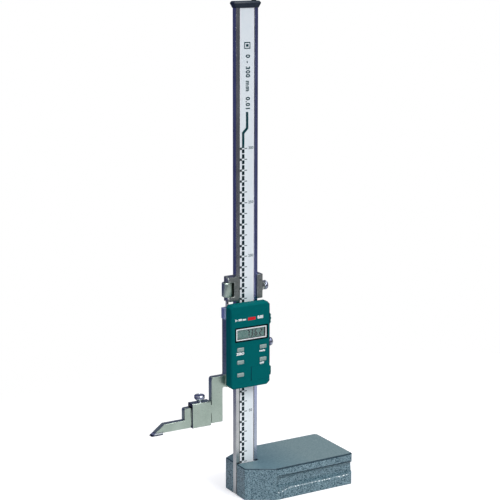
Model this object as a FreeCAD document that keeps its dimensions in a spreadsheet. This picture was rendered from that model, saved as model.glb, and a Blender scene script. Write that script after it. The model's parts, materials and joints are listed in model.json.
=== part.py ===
"""Digital height gauge: base, beam, sliding display unit, fine-adjust carriage and scriber.

Millimetres. +Z is up, +X runs along the base away from the scriber and the display faces -Y.
The origin is on the underside of the base, straight below the middle of the beam.
"""
import FreeCAD, Part
import os
import Sketcher

# Driving dimensions, each written once. Heights on the slider count from the measuring face.
SIZES = {
    # height of the scriber's measuring face above the base's underside at rest
    "reading": 73.62,
    # base casting
    "base_length": 113.0,
    "base_width": 67.0,
    "base_height": 31.2,
    "base_shift": 1.0,
    "nose_width": 36.6,
    "nose_length": 26.0,
    "base_corner": 4.0,
    "base_edge": 0.8,
    "grip_rise": 10.2,
    "grip_height": 12.8,
    "grip_depth": 4.6,
    "grip_bevel": 2.6,
    "grip_start": 3.0,
    "scoop_drop": 3.2,
    "scoop_depth": 1.8,
    "scoop_reach": 4.0,
    "scoop_run": 11.0,
    "slot_gap": 1.2,
    "slot_relief": 0.2,
    "relief_depth": 1.2,
    "relief_margin": 9.0,
    # beam and its scale
    "beam_width": 23.0,
    "beam_thickness": 6.0,
    "beam_length": 459.7,
    "beam_lift": 0.3,
    "scale_width": 14.8,
    "scale_gap": 0.6,
    "scale_foot": 30.6,
    "scale_margin": 2.4,
    "scale_board_thickness": 0.9,
    "scale_strip_thickness": 0.3,
    # screws that hold the beam in the base
    "fixing_radius": 2.5,
    "fixing_head_radius": 4.25,
    "fixing_head_height": 4.0,
    "fixing_seat": 10.0,
    "fixing_bite": 4.5,
    "fixing_rise": 8.5,
    "fixing_pitch": 13.5,
    "fixing_socket": 1.9,
    # cap on the beam
    "cap_cover": 2.6,
    "cap_height": 6.1,
    "cap_reach": 13.6,
    "cap_half_depth": 4.4,
    "cap_knee": 3.9,
    "cap_under_run": 0.9,
    "cap_shoulder": 1.6,
    "cap_top_run": 1.0,
    "cap_screw_shift": 8.6,
    "cap_screw_radius": 1.25,
    "cap_screw_head_radius": 2.2,
    "cap_screw_head_height": 1.4,
    "cap_screw_length": 9.0,
    # slider frame
    "frame_rise": 35.88,
    "frame_height": 75.6,
    "frame_front": 5.0,
    "left_rail": 11.25,
    "right_rail": 6.3,
    "edge_clearance": 0.05,
    "face_clearance": 0.15,
    "back_clearance": 0.2,
    "lip": 2.5,
    "window_margin": 7.1,
    "gib_thickness": 1.1,
    "gib_margin": 2.5,
    "gib_screw_radius": 1.5,
    "gib_screw_low": 4.6,
    "gib_screw_high": 55.1,
    "lug_rise": 65.2,
    "lug_proud": 1.2,
    # arm that carries the scriber
    "jaw_thickness": 6.0,
    "arm_reach": 37.75,
    "arm_height": 11.2,
    "leg_width": 11.85,
    "leg_rise": 2.48,
    "leg_corner": 2.5,
    "arm_fillet": 1.6,
    "stub_reach": 59.3,
    "stub_height": 7.8,
    # scriber and its hard-metal tip
    "scriber_reach": 100.0,
    "blade_rise": 2.0,
    "blade_height": 8.0,
    "blade_slope": 13.0,
    "tip_nose": 0.35,
    "tip_length": 11.5,
    "tip_seat": 1.0,
    "upright_width": 6.7,
    "upright_rise": 21.4,
    "upright_corner": 2.0,
    "tail_rise": 3.9,
    "tail_height": 8.4,
    "tail_gap": 0.45,
    "joint_gap": 0.3,
    # clamp that holds the scriber to the arm
    "stack_clearance": 0.1,
    "clamp_width": 19.7,
    "clamp_gap": 1.35,
    "clamp_side": 1.4,
    "clamp_floor": 2.4,
    "clamp_roof": 2.8,
    "clamp_pad_radius": 2.6,
    "clamp_pad_thickness": 1.4,
    "clamp_neck": 1.3,
    "clamp_head_radius": 5.0,
    "clamp_head_height": 5.4,
    # clamping screws
    "lock_gap": 0.3,
    "screw_radius": 2.0,
    "thread_clearance": 0.05,
    "pad_thickness": 2.0,
    "slider_lock_rise": 72.4,
    "slider_lock_neck": 3.0,
    "slider_lock_head_radius": 4.2,
    "slider_lock_head_length": 6.4,
    # back plate of the slider
    "plate_thickness": 2.0,
    "plate_inset": 0.8,
    "plate_screw_radius": 1.25,
    "plate_screw_head_radius": 2.3,
    "plate_screw_length": 5.6,
    "plate_screw_low": 14.1,
    "plate_screw_high": 62.1,
    "left_screw_inset": 2.7,
    "right_screw_inset": 2.9,
    # display housing
    "housing_overhang": 0.4,
    "housing_drop": 0.6,
    "housing_height": 80.3,
    "housing_depth": 9.3,
    "housing_wall": 1.6,
    "front_wall": 1.5,
    "housing_top_corner": 2.5,
    "housing_bottom_corner": 3.0,
    "housing_edge": 1.2,
    "boss_radius": 2.4,
    "cover_screw_radius": 1.0,
    "cover_screw_head_radius": 2.0,
    "cover_screw_head_height": 1.2,
    "cover_screw_length": 10.5,
    "cover_screw_low": 4.5,
    "cover_screw_high": 70.1,
    # display
    "bezel_rise": 80.5,
    "bezel_height": 13.9,
    "bezel_width": 35.1,
    "bezel_shift": -1.35,
    "bezel_rim": 1.1,
    "bezel_proud": 0.3,
    "window_thickness": 1.0,
    "window_inset": 0.25,
    "panel_thickness": 2.1,
    "connector_height": 2.0,
    "fit_clearance": 0.1,
    # electronics
    "board_thickness": 1.6,
    "board_margin": 3.2,
    "reader_thickness": 1.7,
    "reader_clearance": 0.2,
    # keys
    "key_width": 6.9,
    "key_height": 3.5,
    "key_left": -13.3,
    "key_right": 10.9,
    "key_top_row": 73.4,
    "key_row_step": 12.15,
    "key_proud": 0.9,
    "key_travel": 0.8,
    "key_clearance": 0.15,
    "key_flange": 0.6,
    "key_flange_thickness": 0.7,
    "mat_thickness": 1.4,
    "mat_margin": 1.8,
    "dome_radius": 1.7,
    # battery and its sliding cover
    "battery_radius": 5.8,
    "battery_thickness": 5.4,
    "battery_shift": 8.0,
    "battery_rise": 48.4,
    "hatch_seam": -2.0,
    "hatch_rise": 41.6,
    "hatch_height": 13.6,
    "hatch_thickness": 1.2,
    "hatch_grip": 2.0,
    "hatch_grip_height": 8.6,
    "contact_thickness": 0.4,
    "tray_wall": 1.6,
    # data port
    "port_rise": 93.8,
    "port_height": 10.0,
    "port_depth": 6.0,
    "port_inset": 1.8,
    "connector_length": 3.6,
    # fine-adjust carriage
    "carriage_rise": 117.3,
    "carriage_height": 23.1,
    "carriage_half_depth": 5.0,
    "carriage_left": 20.8,
    "carriage_right": 16.0,
    "carriage_lip_right": 1.3,
    "carriage_corner": 1.6,
    "pocket_rise": 4.4,
    "pocket_height": 13.6,
    "pocket_web": 2.7,
    "carriage_boss_radius": 4.5,
    "carriage_boss_length": 2.5,
    "carriage_lock_neck": 0.5,
    "carriage_lock_head_radius": 4.4,
    "carriage_lock_head_length": 3.8,
    "carriage_lock_rise": 10.8,
    # fine-adjust rod and nut
    "rod_offset": 19.4,
    "rod_radius": 1.5,
    "rod_foot": 10.0,
    "rod_head": 1.1,
    "rod_pin_radius": 0.75,
    "rod_pin_drop": 5.1,
    "nut_radius": 4.9,
    "nut_clearance": 0.1,
    "nut_rim": 0.6,
}


class Length:
    """A length that keeps its formula over the sheet beside its present value."""

    def __init__(self, formula, value):
        self.formula = formula
        self.value = value

    def joined(self, sign, other, value):
        return Length(f"({self.formula} {sign} {length(other).formula})", value)

    def __add__(self, other):
        return self.joined("+", other, self.value + length(other).value)

    def __sub__(self, other):
        return self.joined("-", other, self.value - length(other).value)

    def __rsub__(self, other):
        return length(other) - self

    def __mul__(self, factor):
        return self.joined("*", factor, self.value * factor)

    def __truediv__(self, factor):
        return self.joined("/", factor, self.value / factor)

    def __neg__(self):
        return self * -1


def length(thing):
    """Any number or Length as a Length."""
    if isinstance(thing, Length):
        return thing
    return Length(f"({float(thing)})", float(thing))


doc = FreeCAD.newDocument("height_gauge")
sheet = doc.addObject("Spreadsheet::Sheet", "Sizes")
for row, (alias, number) in enumerate(SIZES.items(), start=1):
    sheet.set(f"A{row}", alias)
    sheet.set(f"B{row}", str(number))
    sheet.setAlias(f"B{row}", alias)
doc.recompute()

size = {alias: Length(f"Sizes.{alias}", number) for alias, number in SIZES.items()}
nodes = []

# Each direction's sketch plane, the sign of its normal, and the sketch's own two axes
PLANES = {
    "x": ("YZ_Plane", 1, "YZ"),
    "y": ("XZ_Plane", -1, "XZ"),
    "z": ("XY_Plane", 1, "XY"),
}
TINY = 1e-4


def bind(item, target, value):
    item.setExpression(target, length(value).formula)


def new_body(label, published=True):
    body = doc.addObject("PartDesign::Body", label)
    body.Label = label
    if published:
        nodes.append(body)
    return body


def new_sketch(body, direction, low, high):
    """A sketch on the body's own plane, where a feature towards the plane's normal starts."""
    role, sign, _ = PLANES[direction]
    plane = next(item for item in body.Origin.OriginFeatures if item.Role == role)
    sketch = body.newObject("Sketcher::SketchObject", f"{body.Name}_sketch")
    sketch.AttachmentSupport = [(plane, "")]
    sketch.MapMode = "FlatFace"
    start = length(low) if sign > 0 else -length(high)
    bind(sketch, "AttachmentOffset.Base.z", start)
    return sketch


def constrain(sketch, kind, *places, value):
    index = sketch.addConstraint(Sketcher.Constraint(kind, *places, length(value).value))
    bind(sketch, f"Constraints[{index}]", value)


def draw_outline(sketch, corners):
    """A closed outline of straight sides, each corner placed from the origin."""
    corners = [(length(across), length(up)) for across, up in corners]
    ends = corners[1:] + corners[:1]
    for (across, up), (next_across, next_up) in zip(corners, ends):
        start = FreeCAD.Vector(across.value, up.value, 0)
        end = FreeCAD.Vector(next_across.value, next_up.value, 0)
        sketch.addGeometry(Part.LineSegment(start, end))
    for side in range(len(corners)):
        following = (side + 1) % len(corners)
        sketch.addConstraint(Sketcher.Constraint("Coincident", side, 2, following, 1))
    for side, (across, up) in enumerate(corners):
        constrain(sketch, "DistanceX", -1, 1, side, 1, value=across)
        constrain(sketch, "DistanceY", -1, 1, side, 1, value=up)


def draw_circle(sketch, centre, radius):
    across, up = [length(place) for place in centre]
    middle = FreeCAD.Vector(across.value, up.value, 0)
    circle = Part.Circle(middle, FreeCAD.Vector(0, 0, 1), length(radius).value)
    index = sketch.addGeometry(circle)
    constrain(sketch, "Radius", index, value=radius)
    constrain(sketch, "DistanceX", -1, 1, index, 3, value=across)
    constrain(sketch, "DistanceY", -1, 1, index, 3, value=up)


def extrude(body, kind, direction, low, high, draw):
    sketch = new_sketch(body, direction, low, high)
    draw(sketch)
    feature = body.newObject(f"PartDesign::{kind}", f"{body.Name}_{kind.lower()}")
    feature.Profile = sketch
    feature.Reversed = kind == "Pocket"
    bind(feature, "Length", length(high) - low)
    return feature


def add_prism(body, direction, low, high, corners):
    """Material between two levels along a direction, inside an outline."""
    extrude(body, "Pad", direction, low, high, lambda sketch: draw_outline(sketch, corners))


def cut_prism(body, direction, low, high, corners):
    extrude(body, "Pocket", direction, low, high, lambda sketch: draw_outline(sketch, corners))


def add_disc(body, direction, low, high, centre, radius):
    extrude(body, "Pad", direction, low, high, lambda sketch: draw_circle(sketch, centre, radius))


def cut_disc(body, direction, low, high, centre, radius):
    extrude(body, "Pocket", direction, low, high, lambda sketch: draw_circle(sketch, centre, radius))


def rectangle(left, right, low, high):
    return [(left, low), (right, low), (right, high), (left, high)]


def add_block(body, x, y, z):
    add_prism(body, "z", *z, rectangle(*x, *y))


def cut_block(body, x, y, z):
    cut_prism(body, "z", *z, rectangle(*x, *y))


def edges_at(shape, **places):
    """Names of the edges whose ends all lie at the given coordinates."""
    found = []
    for index, edge in enumerate(shape.Edges, start=1):
        offs = [
            abs(getattr(corner.Point, axis) - length(place).value)
            for corner in edge.Vertexes
            for axis, place in places.items()
        ]
        if max(offs) < TINY:
            found.append(f"Edge{index}")
    return found


def dress(body, kind, amount, *places):
    """Fillets or chamfers the edges named by their coordinates."""
    doc.recompute()
    tip = body.Tip
    names = [name for place in places for name in edges_at(tip.Shape, **place)]
    if not names:
        raise ValueError(f"{body.Label}: no edge to {kind.lower()} at {places}")
    feature = body.newObject(f"PartDesign::{kind}", f"{body.Name}_{kind.lower()}")
    feature.Base = (tip, sorted(set(names)))
    bind(feature, "Radius" if kind == "Fillet" else "Size", amount)


TURNS = {
    "+z": FreeCAD.Rotation(),
    "-z": FreeCAD.Rotation(FreeCAD.Vector(1, 0, 0), 180),
    "+x": FreeCAD.Rotation(FreeCAD.Vector(0, 1, 0), 90),
    "-x": FreeCAD.Rotation(FreeCAD.Vector(0, 1, 0), -90),
    "+y": FreeCAD.Rotation(FreeCAD.Vector(1, 0, 0), -90),
    "-y": FreeCAD.Rotation(FreeCAD.Vector(1, 0, 0), 90),
}


def place(item, at, towards="+z"):
    item.Placement = FreeCAD.Placement(FreeCAD.Vector(), TURNS[towards])
    for axis, value in zip("xyz", at):
        bind(item, f"Placement.Base.{axis}", value)


def turn(body, profile):
    """A solid of revolution from (radius, height) corners about the body's own upright axis."""
    sketch = new_sketch(body, "y", 0, 0)
    draw_outline(sketch, profile)
    feature = body.newObject("PartDesign::Revolution", f"{body.Name}_turning")
    feature.Profile = sketch
    feature.ReferenceAxis = (sketch, ["V_Axis"])
    feature.Angle = 360


def turned(label, profile, at, towards="+z", published=True):
    body = new_body(label, published)
    turn(body, profile)
    place(body, at, towards)
    return body


def group(label, members):
    """Like pieces that share one node."""
    compound = doc.addObject("Part::Compound", label)
    compound.Label = label
    compound.Links = members
    nodes.append(compound)


def screw_profile(radius, shank, head_radius, head, bevel=0.4):
    """A screw along +z: its shank ends at zero and its head rises above it."""
    return [
        (0, -shank),
        (radius - bevel / 2, -shank),
        (radius, bevel / 2 - shank),
        (radius, 0),
        (head_radius, 0),
        (head_radius, head - bevel),
        (head_radius - bevel, head),
        (0, head),
    ]


# Places that several pieces share
beam_left = -size["beam_width"] / 2
beam_right = size["beam_width"] / 2
beam_face = -size["beam_thickness"] / 2
beam_back = size["beam_thickness"] / 2
beam_foot = size["beam_lift"]
beam_top = beam_foot + size["beam_length"]
scale_top = beam_top - size["scale_margin"]
strip_back = beam_face + size["scale_strip_thickness"]
board_back = strip_back + size["scale_board_thickness"]
jaw_side = size["jaw_thickness"] / 2

slider = size["reading"]
frame_low = slider + size["frame_rise"]
frame_high = frame_low + size["frame_height"]
frame_face = -size["frame_front"]
frame_back = beam_back + size["back_clearance"]
channel_left = beam_left - size["edge_clearance"]
channel_right = beam_right + size["edge_clearance"] * 2 + size["gib_thickness"]
channel_face = beam_face - size["face_clearance"]
frame_left = channel_left - size["left_rail"]
frame_right = channel_right + size["right_rail"]
gib_left = beam_right + size["edge_clearance"]
gib_right = gib_left + size["gib_thickness"]
screw_bore = size["screw_radius"] + size["thread_clearance"]
lock_height = slider + size["slider_lock_rise"]
left_screws = channel_left - size["left_screw_inset"]
right_screws = channel_right + size["right_screw_inset"]
plate_screw_heights = [frame_low + size[f"plate_screw_{end}"] for end in ("low", "high")]
cover_screw_places = [
    (left_screws, frame_low + size["cover_screw_low"]),
    (left_screws, frame_low + size["cover_screw_high"]),
    (right_screws, frame_low + size["cover_screw_high"]),
]
gib_screw_heights = [frame_low + size[f"gib_screw_{end}"] for end in ("low", "high")]
rod_axis = -size["rod_offset"]
pin_height = frame_high - size["rod_pin_drop"]

housing_left = frame_left - size["housing_overhang"]
housing_right = frame_right
housing_low = frame_low - size["housing_drop"]
housing_high = housing_low + size["housing_height"]
housing_back = frame_face
housing_face = housing_back - size["housing_depth"]
wall_back = housing_face + size["front_wall"]
bezel_left = size["bezel_shift"] - size["bezel_width"] / 2
bezel_right = size["bezel_shift"] + size["bezel_width"] / 2
bezel_low = slider + size["bezel_rise"]
bezel_high = bezel_low + size["bezel_height"]
board_face = housing_back - size["board_thickness"]
hatch_low = slider + size["hatch_rise"]
hatch_high = hatch_low + size["hatch_height"]
port_low = slider + size["port_rise"]
port_high = port_low + size["port_height"]
port_back = housing_back - size["port_inset"]
port_face = port_back - size["port_depth"]
mat_face = board_face - size["mat_thickness"]

key_rows = [slider + size["key_top_row"] - size["key_row_step"] * row for row in range(3)]
KEYS = {
    "zero_key": (size["key_left"], key_rows[0]),
    "unit_key": (size["key_right"], key_rows[0]),
    "hold_key": (size["key_left"], key_rows[1]),
    "power_key": (size["key_right"], key_rows[1]),
    "preset_key": (size["key_left"], key_rows[2]),
}


# The base: a cast block with a tapered nose, a grip groove on each side and a slot for the beam. It reaches
# a little further to the front than to the back of the beam.
def make_base():
    body = new_body("base_casting")
    middle = -size["base_shift"]
    end = beam_left + size["base_length"]
    nose_end = beam_left + size["nose_length"]
    nose = size["nose_width"] / 2
    side = size["base_width"] / 2
    outline = [
        (beam_left, middle - nose),
        (nose_end, middle - side),
        (end, middle - side),
        (end, middle + side),
        (nose_end, middle + side),
        (beam_left, middle + nose),
    ]
    add_prism(body, "z", 0, size["base_height"], outline)
    flanks = (middle - side, middle + side)
    dress(body, "Fillet", size["base_corner"], *({"x": end, "y": flank} for flank in flanks))
    dress(body, "Chamfer", size["base_edge"], *({"y": flank, "z": size["base_height"]} for flank in flanks))
    floor = side - size["grip_depth"]
    groove_low = size["grip_rise"]
    groove_high = groove_low + size["grip_height"]
    start = nose_end + size["grip_start"]
    for hand, flank in zip((-1, 1), flanks):
        groove_floor = middle + floor * hand
        profile = [
            (flank, groove_low),
            (groove_floor, groove_low + size["grip_bevel"]),
            (groove_floor, groove_high - size["grip_bevel"]),
            (flank, groove_high),
        ]
        cut_prism(body, "x", start, end, profile)
        ramp = [
            (nose_end, flank),
            (start, groove_floor),
            (start, flank),
        ]
        inner_low = groove_low + size["grip_bevel"]
        inner_high = groove_high - size["grip_bevel"]
        cut_prism(body, "z", inner_low, inner_high, ramp)

        # The cutter runs out in a shallow scoop that dips below the groove
        scoop_left = nose_end - size["scoop_reach"]
        scoop_right = start + size["scoop_run"]
        scoop = [
            (scoop_left, inner_low),
            (start, groove_low - size["scoop_drop"]),
            (scoop_right, groove_low),
            (scoop_right, groove_high),
            (start, groove_high),
            (scoop_left, inner_high),
        ]
        scoop_floor = flank - size["scoop_depth"] * hand
        depth = sorted((flank, scoop_floor), key=lambda face: face.value)
        cut_prism(body, "y", *depth, scoop)
    slot_front = beam_face - size["slot_gap"]
    slot_end = beam_right + size["slot_relief"]
    cut_block(body, (beam_left, slot_end), (slot_front, beam_back), (0, size["base_height"]))
    relief_left = slot_end + size["relief_margin"]
    relief_side = side - size["relief_margin"]
    relief = (relief_left, end - size["relief_margin"]), (middle - relief_side, middle + relief_side)
    cut_block(body, *relief, (0, size["relief_depth"]))
    for height in fixing_heights:
        bore = size["fixing_radius"]
        cut_disc(body, "y", beam_back, size["fixing_seat"], (0, height), bore)
        head_bore = size["fixing_head_radius"] + size["fit_clearance"]
        cut_disc(body, "y", size["fixing_seat"], middle + side, (0, height), head_bore)


fixing_heights = [size["fixing_rise"], size["fixing_rise"] + size["fixing_pitch"]]


# The beam: a ground steel bar, recessed along its front for the scale
def make_beam():
    body = new_body("beam")
    add_block(body, (beam_left, beam_right), (beam_face, beam_back), (beam_foot, beam_top))
    half = size["scale_width"] / 2
    recess = half + size["scale_gap"]
    cut_block(body, (-recess, recess), (beam_face, board_back), (size["scale_foot"], beam_top))
    for height in fixing_heights:
        start = beam_back - size["fixing_bite"]
        cut_disc(body, "y", start, beam_back, (0, height), size["fixing_radius"])
    screw_hole = beam_top - size["cap_screw_length"]
    place_of_screw = (size["cap_screw_shift"], 0)
    cut_disc(body, "z", screw_hole, beam_top, place_of_screw, size["cap_screw_radius"])

    # The scale: a circuit strip bonded in the recess, under a printed film
    layers = {
        "scale_board": (strip_back, board_back),
        "scale_strip": (beam_face, strip_back),
    }
    for label, depth in layers.items():
        layer = new_body(label)
        add_block(layer, (-half, half), depth, (size["scale_foot"], scale_top))

    # Two cap screws from the back of the base pull the beam against its slot
    screws = []
    for height in fixing_heights:
        shank = size["fixing_seat"] - beam_back + size["fixing_bite"]
        head = size["fixing_head_height"]
        profile = screw_profile(size["fixing_radius"], shank, size["fixing_head_radius"], head)
        screw = turned("beam_screw", profile, (0, size["fixing_seat"], height), "+y", published=False)
        socket = size["fixing_socket"]
        cut_disc(screw, "z", head / 2, head, (0, 0), socket)
        screws.append(screw)
    group("beam_fixing_screws", screws)


# The cap: a bevelled plastic cap over the end of the beam, with one screw
def make_cap():
    body = new_body("top_cap")
    foot = beam_top - size["cap_cover"]
    top = foot + size["cap_height"]
    reach = size["cap_reach"]
    depth = size["cap_half_depth"]
    knee = foot + size["cap_knee"]
    shoulder = top - size["cap_shoulder"]
    foot_reach = reach - size["cap_under_run"] * 2
    top_reach = reach - size["cap_top_run"]
    profile = [
        (-foot_reach, foot),
        (foot_reach, foot),
        (reach, knee),
        (reach, shoulder),
        (top_reach, top),
        (-top_reach, top),
        (-reach, shoulder),
        (-reach, knee),
    ]
    add_prism(body, "y", -depth, depth, profile)
    for hand in (-1, 1):
        under = [
            (depth * hand, foot),
            (depth * hand, knee),
            ((depth - size["cap_under_run"]) * hand, foot),
        ]
        cut_prism(body, "x", -reach, reach, under)
        over = [
            (depth * hand, top),
            (depth * hand, shoulder),
            ((depth - size["cap_top_run"]) * hand, top),
        ]
        cut_prism(body, "x", -reach, reach, over)
    cut_block(body, (beam_left, beam_right), (beam_face, beam_back), (foot, beam_top))
    hole = (size["cap_screw_shift"], 0)
    cut_disc(body, "z", beam_top, top, hole, size["cap_screw_radius"])

    shank = top - beam_top + size["cap_screw_length"]
    head = size["cap_screw_head_height"]
    profile = screw_profile(size["cap_screw_radius"], shank, size["cap_screw_head_radius"], head)
    turned("cap_screw", profile, (size["cap_screw_shift"], 0, top))


# The slider frame: a steel channel round the beam, one piece with the arm that carries the scriber
def make_frame():
    body = new_body("slider_frame")
    add_block(body, (frame_left, frame_right), (frame_face, frame_back), (frame_low, frame_high))
    leg_left = -size["arm_reach"]
    leg_right = leg_left + size["leg_width"]
    arm_top = frame_low + size["arm_height"]
    leg_low = slider + size["leg_rise"]
    arm = [
        (frame_left, frame_low),
        (frame_left, arm_top),
        (leg_left, arm_top),
        (leg_left, stub_high),
        (-size["stub_reach"], stub_high),
        (-size["stub_reach"], stub_low),
        (leg_left, stub_low),
        (leg_left, leg_low),
        (leg_right, leg_low),
        (leg_right, frame_low),
    ]
    add_prism(body, "y", -jaw_side, jaw_side, arm)
    dress(body, "Fillet", size["leg_corner"], {"x": leg_left, "z": arm_top})
    fillets = {"x": leg_right, "z": frame_low}, {"x": frame_left, "z": arm_top}
    dress(body, "Fillet", size["arm_fillet"], *fillets)
    lug_low = slider + size["lug_rise"] + size["frame_rise"]
    lug_left = frame_left - size["lug_proud"]
    add_block(body, (lug_left, frame_left), (-jaw_side, jaw_side), (lug_low, frame_high))
    channel = (channel_left, channel_right), (channel_face, frame_back)
    cut_block(body, *channel, (frame_low, frame_high))
    cut_block(body, reader_sides, (frame_face, channel_face), reader_heights)
    for height in gib_screw_heights:
        cut_disc(body, "x", channel_right, frame_right, (0, height), size["gib_screw_radius"])
    cut_disc(body, "x", channel_right, frame_right, (0, lock_height), screw_bore)
    for height in plate_screw_heights:
        for across in (left_screws, right_screws):
            deep = frame_back + size["plate_thickness"] - size["plate_screw_length"]
            cut_disc(body, "y", deep, frame_back, (across, height), size["plate_screw_radius"])
    for across, height in cover_screw_places:
        cut_disc(body, "y", frame_face, frame_back, (across, height), size["cover_screw_radius"])
        seat = frame_back - size["cover_screw_head_height"]
        head_bore = size["cover_screw_head_radius"] + size["fit_clearance"]
        cut_disc(body, "y", seat, frame_back, (across, height), head_bore)
    rod_low = frame_high - size["rod_foot"]
    cut_disc(body, "z", rod_low, frame_high, (rod_axis, 0), size["rod_radius"])
    cut_disc(body, "y", frame_face, frame_back, (rod_axis, pin_height), size["rod_pin_radius"])


tail_low = slider + size["tail_rise"]
tail_high = tail_low + size["tail_height"]
stub_low = tail_high + size["stack_clearance"]
stub_high = stub_low + size["stub_height"]
reader_sides = (beam_left + size["lip"], beam_right - size["lip"])
reader_heights = (frame_low + size["window_margin"], frame_high - size["window_margin"])


# Guide parts of the slider: gib strip, its set screws, and the plate that closes the channel
def make_guides():
    gib = new_body("gib_strip")
    gib_side = -(beam_face + size["edge_clearance"])
    gib_heights = frame_low + size["gib_margin"], frame_high - size["gib_margin"]
    add_block(gib, (gib_left, gib_right), (-gib_side, gib_side), gib_heights)

    gib_screws = []
    for height in gib_screw_heights:
        reach = frame_right - gib_right
        profile = [(0, 0), (size["gib_screw_radius"], 0), (size["gib_screw_radius"], reach), (0, reach)]
        screw = turned("gib_screw", profile, (gib_right, 0, height), "+x", published=False)
        slot = size["gib_screw_radius"] / 5
        half_slot = size["gib_screw_radius"]
        cut_block(screw, (-slot, slot), (-half_slot, half_slot), (reach - slot * 2, reach))
        gib_screws.append(screw)
    group("gib_screws", gib_screws)

    plate = new_body("slider_back_plate")
    inset = size["plate_inset"]
    plate_back = frame_back + size["plate_thickness"]
    sides = (frame_left + inset, frame_right - inset)
    heights = (frame_low + inset, frame_high - inset)
    add_block(plate, sides, (frame_back, plate_back), heights)
    dress(plate, "Chamfer", inset / 2, {"y": plate_back})
    screws = []
    for height in plate_screw_heights:
        for across in (left_screws, right_screws):
            bore = size["plate_screw_head_radius"]
            cut_disc(plate, "y", frame_back, plate_back, (across, height), bore)
            shank = size["plate_screw_length"] - size["plate_thickness"]
            head = size["plate_thickness"]
            profile = screw_profile(size["plate_screw_radius"], shank, bore, head)
            screw = turned("plate_screw", profile, (across, frame_back, height), "+y", published=False)
            slot = size["plate_screw_radius"] / 4
            cut_block(screw, (-slot, slot), (-bore, bore), (head - slot * 2, head))
            screws.append(screw)
    group("back_plate_screws", screws)


# The scriber: an angled blade with a hard-metal tip brazed under it, and a tail for the clamp
def make_scriber():
    body = new_body("scriber")
    tip = -size["scriber_reach"]
    blade_low = slider + size["blade_rise"]
    blade_high = blade_low + size["blade_height"]
    upright_right = -size["stub_reach"] - size["joint_gap"]
    upright_left = upright_right - size["upright_width"]
    upright_high = slider + size["upright_rise"]
    slope = size["blade_slope"].value / (blade_high - slider - size["tip_nose"]).value
    seat_high = blade_low + size["tip_seat"]
    nose_high = slider + size["tip_nose"]
    seat_left = tip + (seat_high - nose_high) * slope
    tip_right = tip + size["tip_length"]
    tail_right = -size["arm_reach"] - size["tail_gap"]
    outline = [
        (seat_left, seat_high),
        (tip_right, seat_high),
        (tip_right, blade_low),
        (upright_right, blade_low),
        (upright_right, tail_low),
        (tail_right, tail_low),
        (tail_right, tail_high),
        (upright_right, tail_high),
        (upright_right, upright_high),
        (upright_left, upright_high),
        (upright_left, blade_high),
        (tip + size["blade_slope"], blade_high),
    ]
    add_prism(body, "y", -jaw_side, jaw_side, outline)
    dress(body, "Fillet", size["upright_corner"], {"x": upright_left, "z": upright_high})

    insert = new_body("carbide_tip")
    wedge = [
        (tip, slider),
        (tip_right, slider),
        (tip_right, seat_high),
        (seat_left, seat_high),
        (tip, nose_high),
    ]
    add_prism(insert, "y", -jaw_side, jaw_side, wedge)


# The clamp: a box that slides over the arm's stub and the scriber's tail, with a screw on top
def make_clamp():
    body = new_body("clamp_frame")
    right = -size["arm_reach"] - size["clamp_gap"]
    left = right - size["clamp_width"]
    middle = (left + right) / 2
    inside = jaw_side + size["stack_clearance"]
    outside = inside + size["clamp_side"]
    hole_low = tail_low - size["stack_clearance"] * 2
    pad_low = stub_high + size["lock_gap"]
    pad_high = pad_low + size["clamp_pad_thickness"]
    hole_high = pad_high + size["stack_clearance"]
    low = hole_low - size["clamp_floor"]
    high = hole_high + size["clamp_roof"]
    add_block(body, (left, right), (-outside, outside), (low, high))
    edges = [{"y": hand * outside.value, "z": level} for hand in (-1, 1) for level in (low, high)]
    dress(body, "Chamfer", size["clamp_side"] / 3, *edges)
    cut_block(body, (left, right), (-inside, inside), (hole_low, hole_high))
    cut_disc(body, "z", hole_high, high, (middle, 0), screw_bore)

    pad_profile = [(0, 0), (size["clamp_pad_radius"], 0), (size["clamp_pad_radius"], pad_high - pad_low)]
    turned("clamp_pad", pad_profile + [(0, pad_high - pad_low)], (middle, 0, pad_low))

    head_low = high + size["clamp_neck"]
    head = size["clamp_head_height"]
    radius = size["clamp_head_radius"]
    profile = [
        (0, pad_high - head_low),
        (size["screw_radius"], pad_high - head_low),
        (size["screw_radius"], 0),
        (radius * 0.55, 0),
        (radius, head * 0.4),
        (radius, head * 0.85),
        (radius * 0.88, head),
        (0, head),
    ]
    turned("clamp_screw", profile, (middle, 0, head_low))


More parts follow.
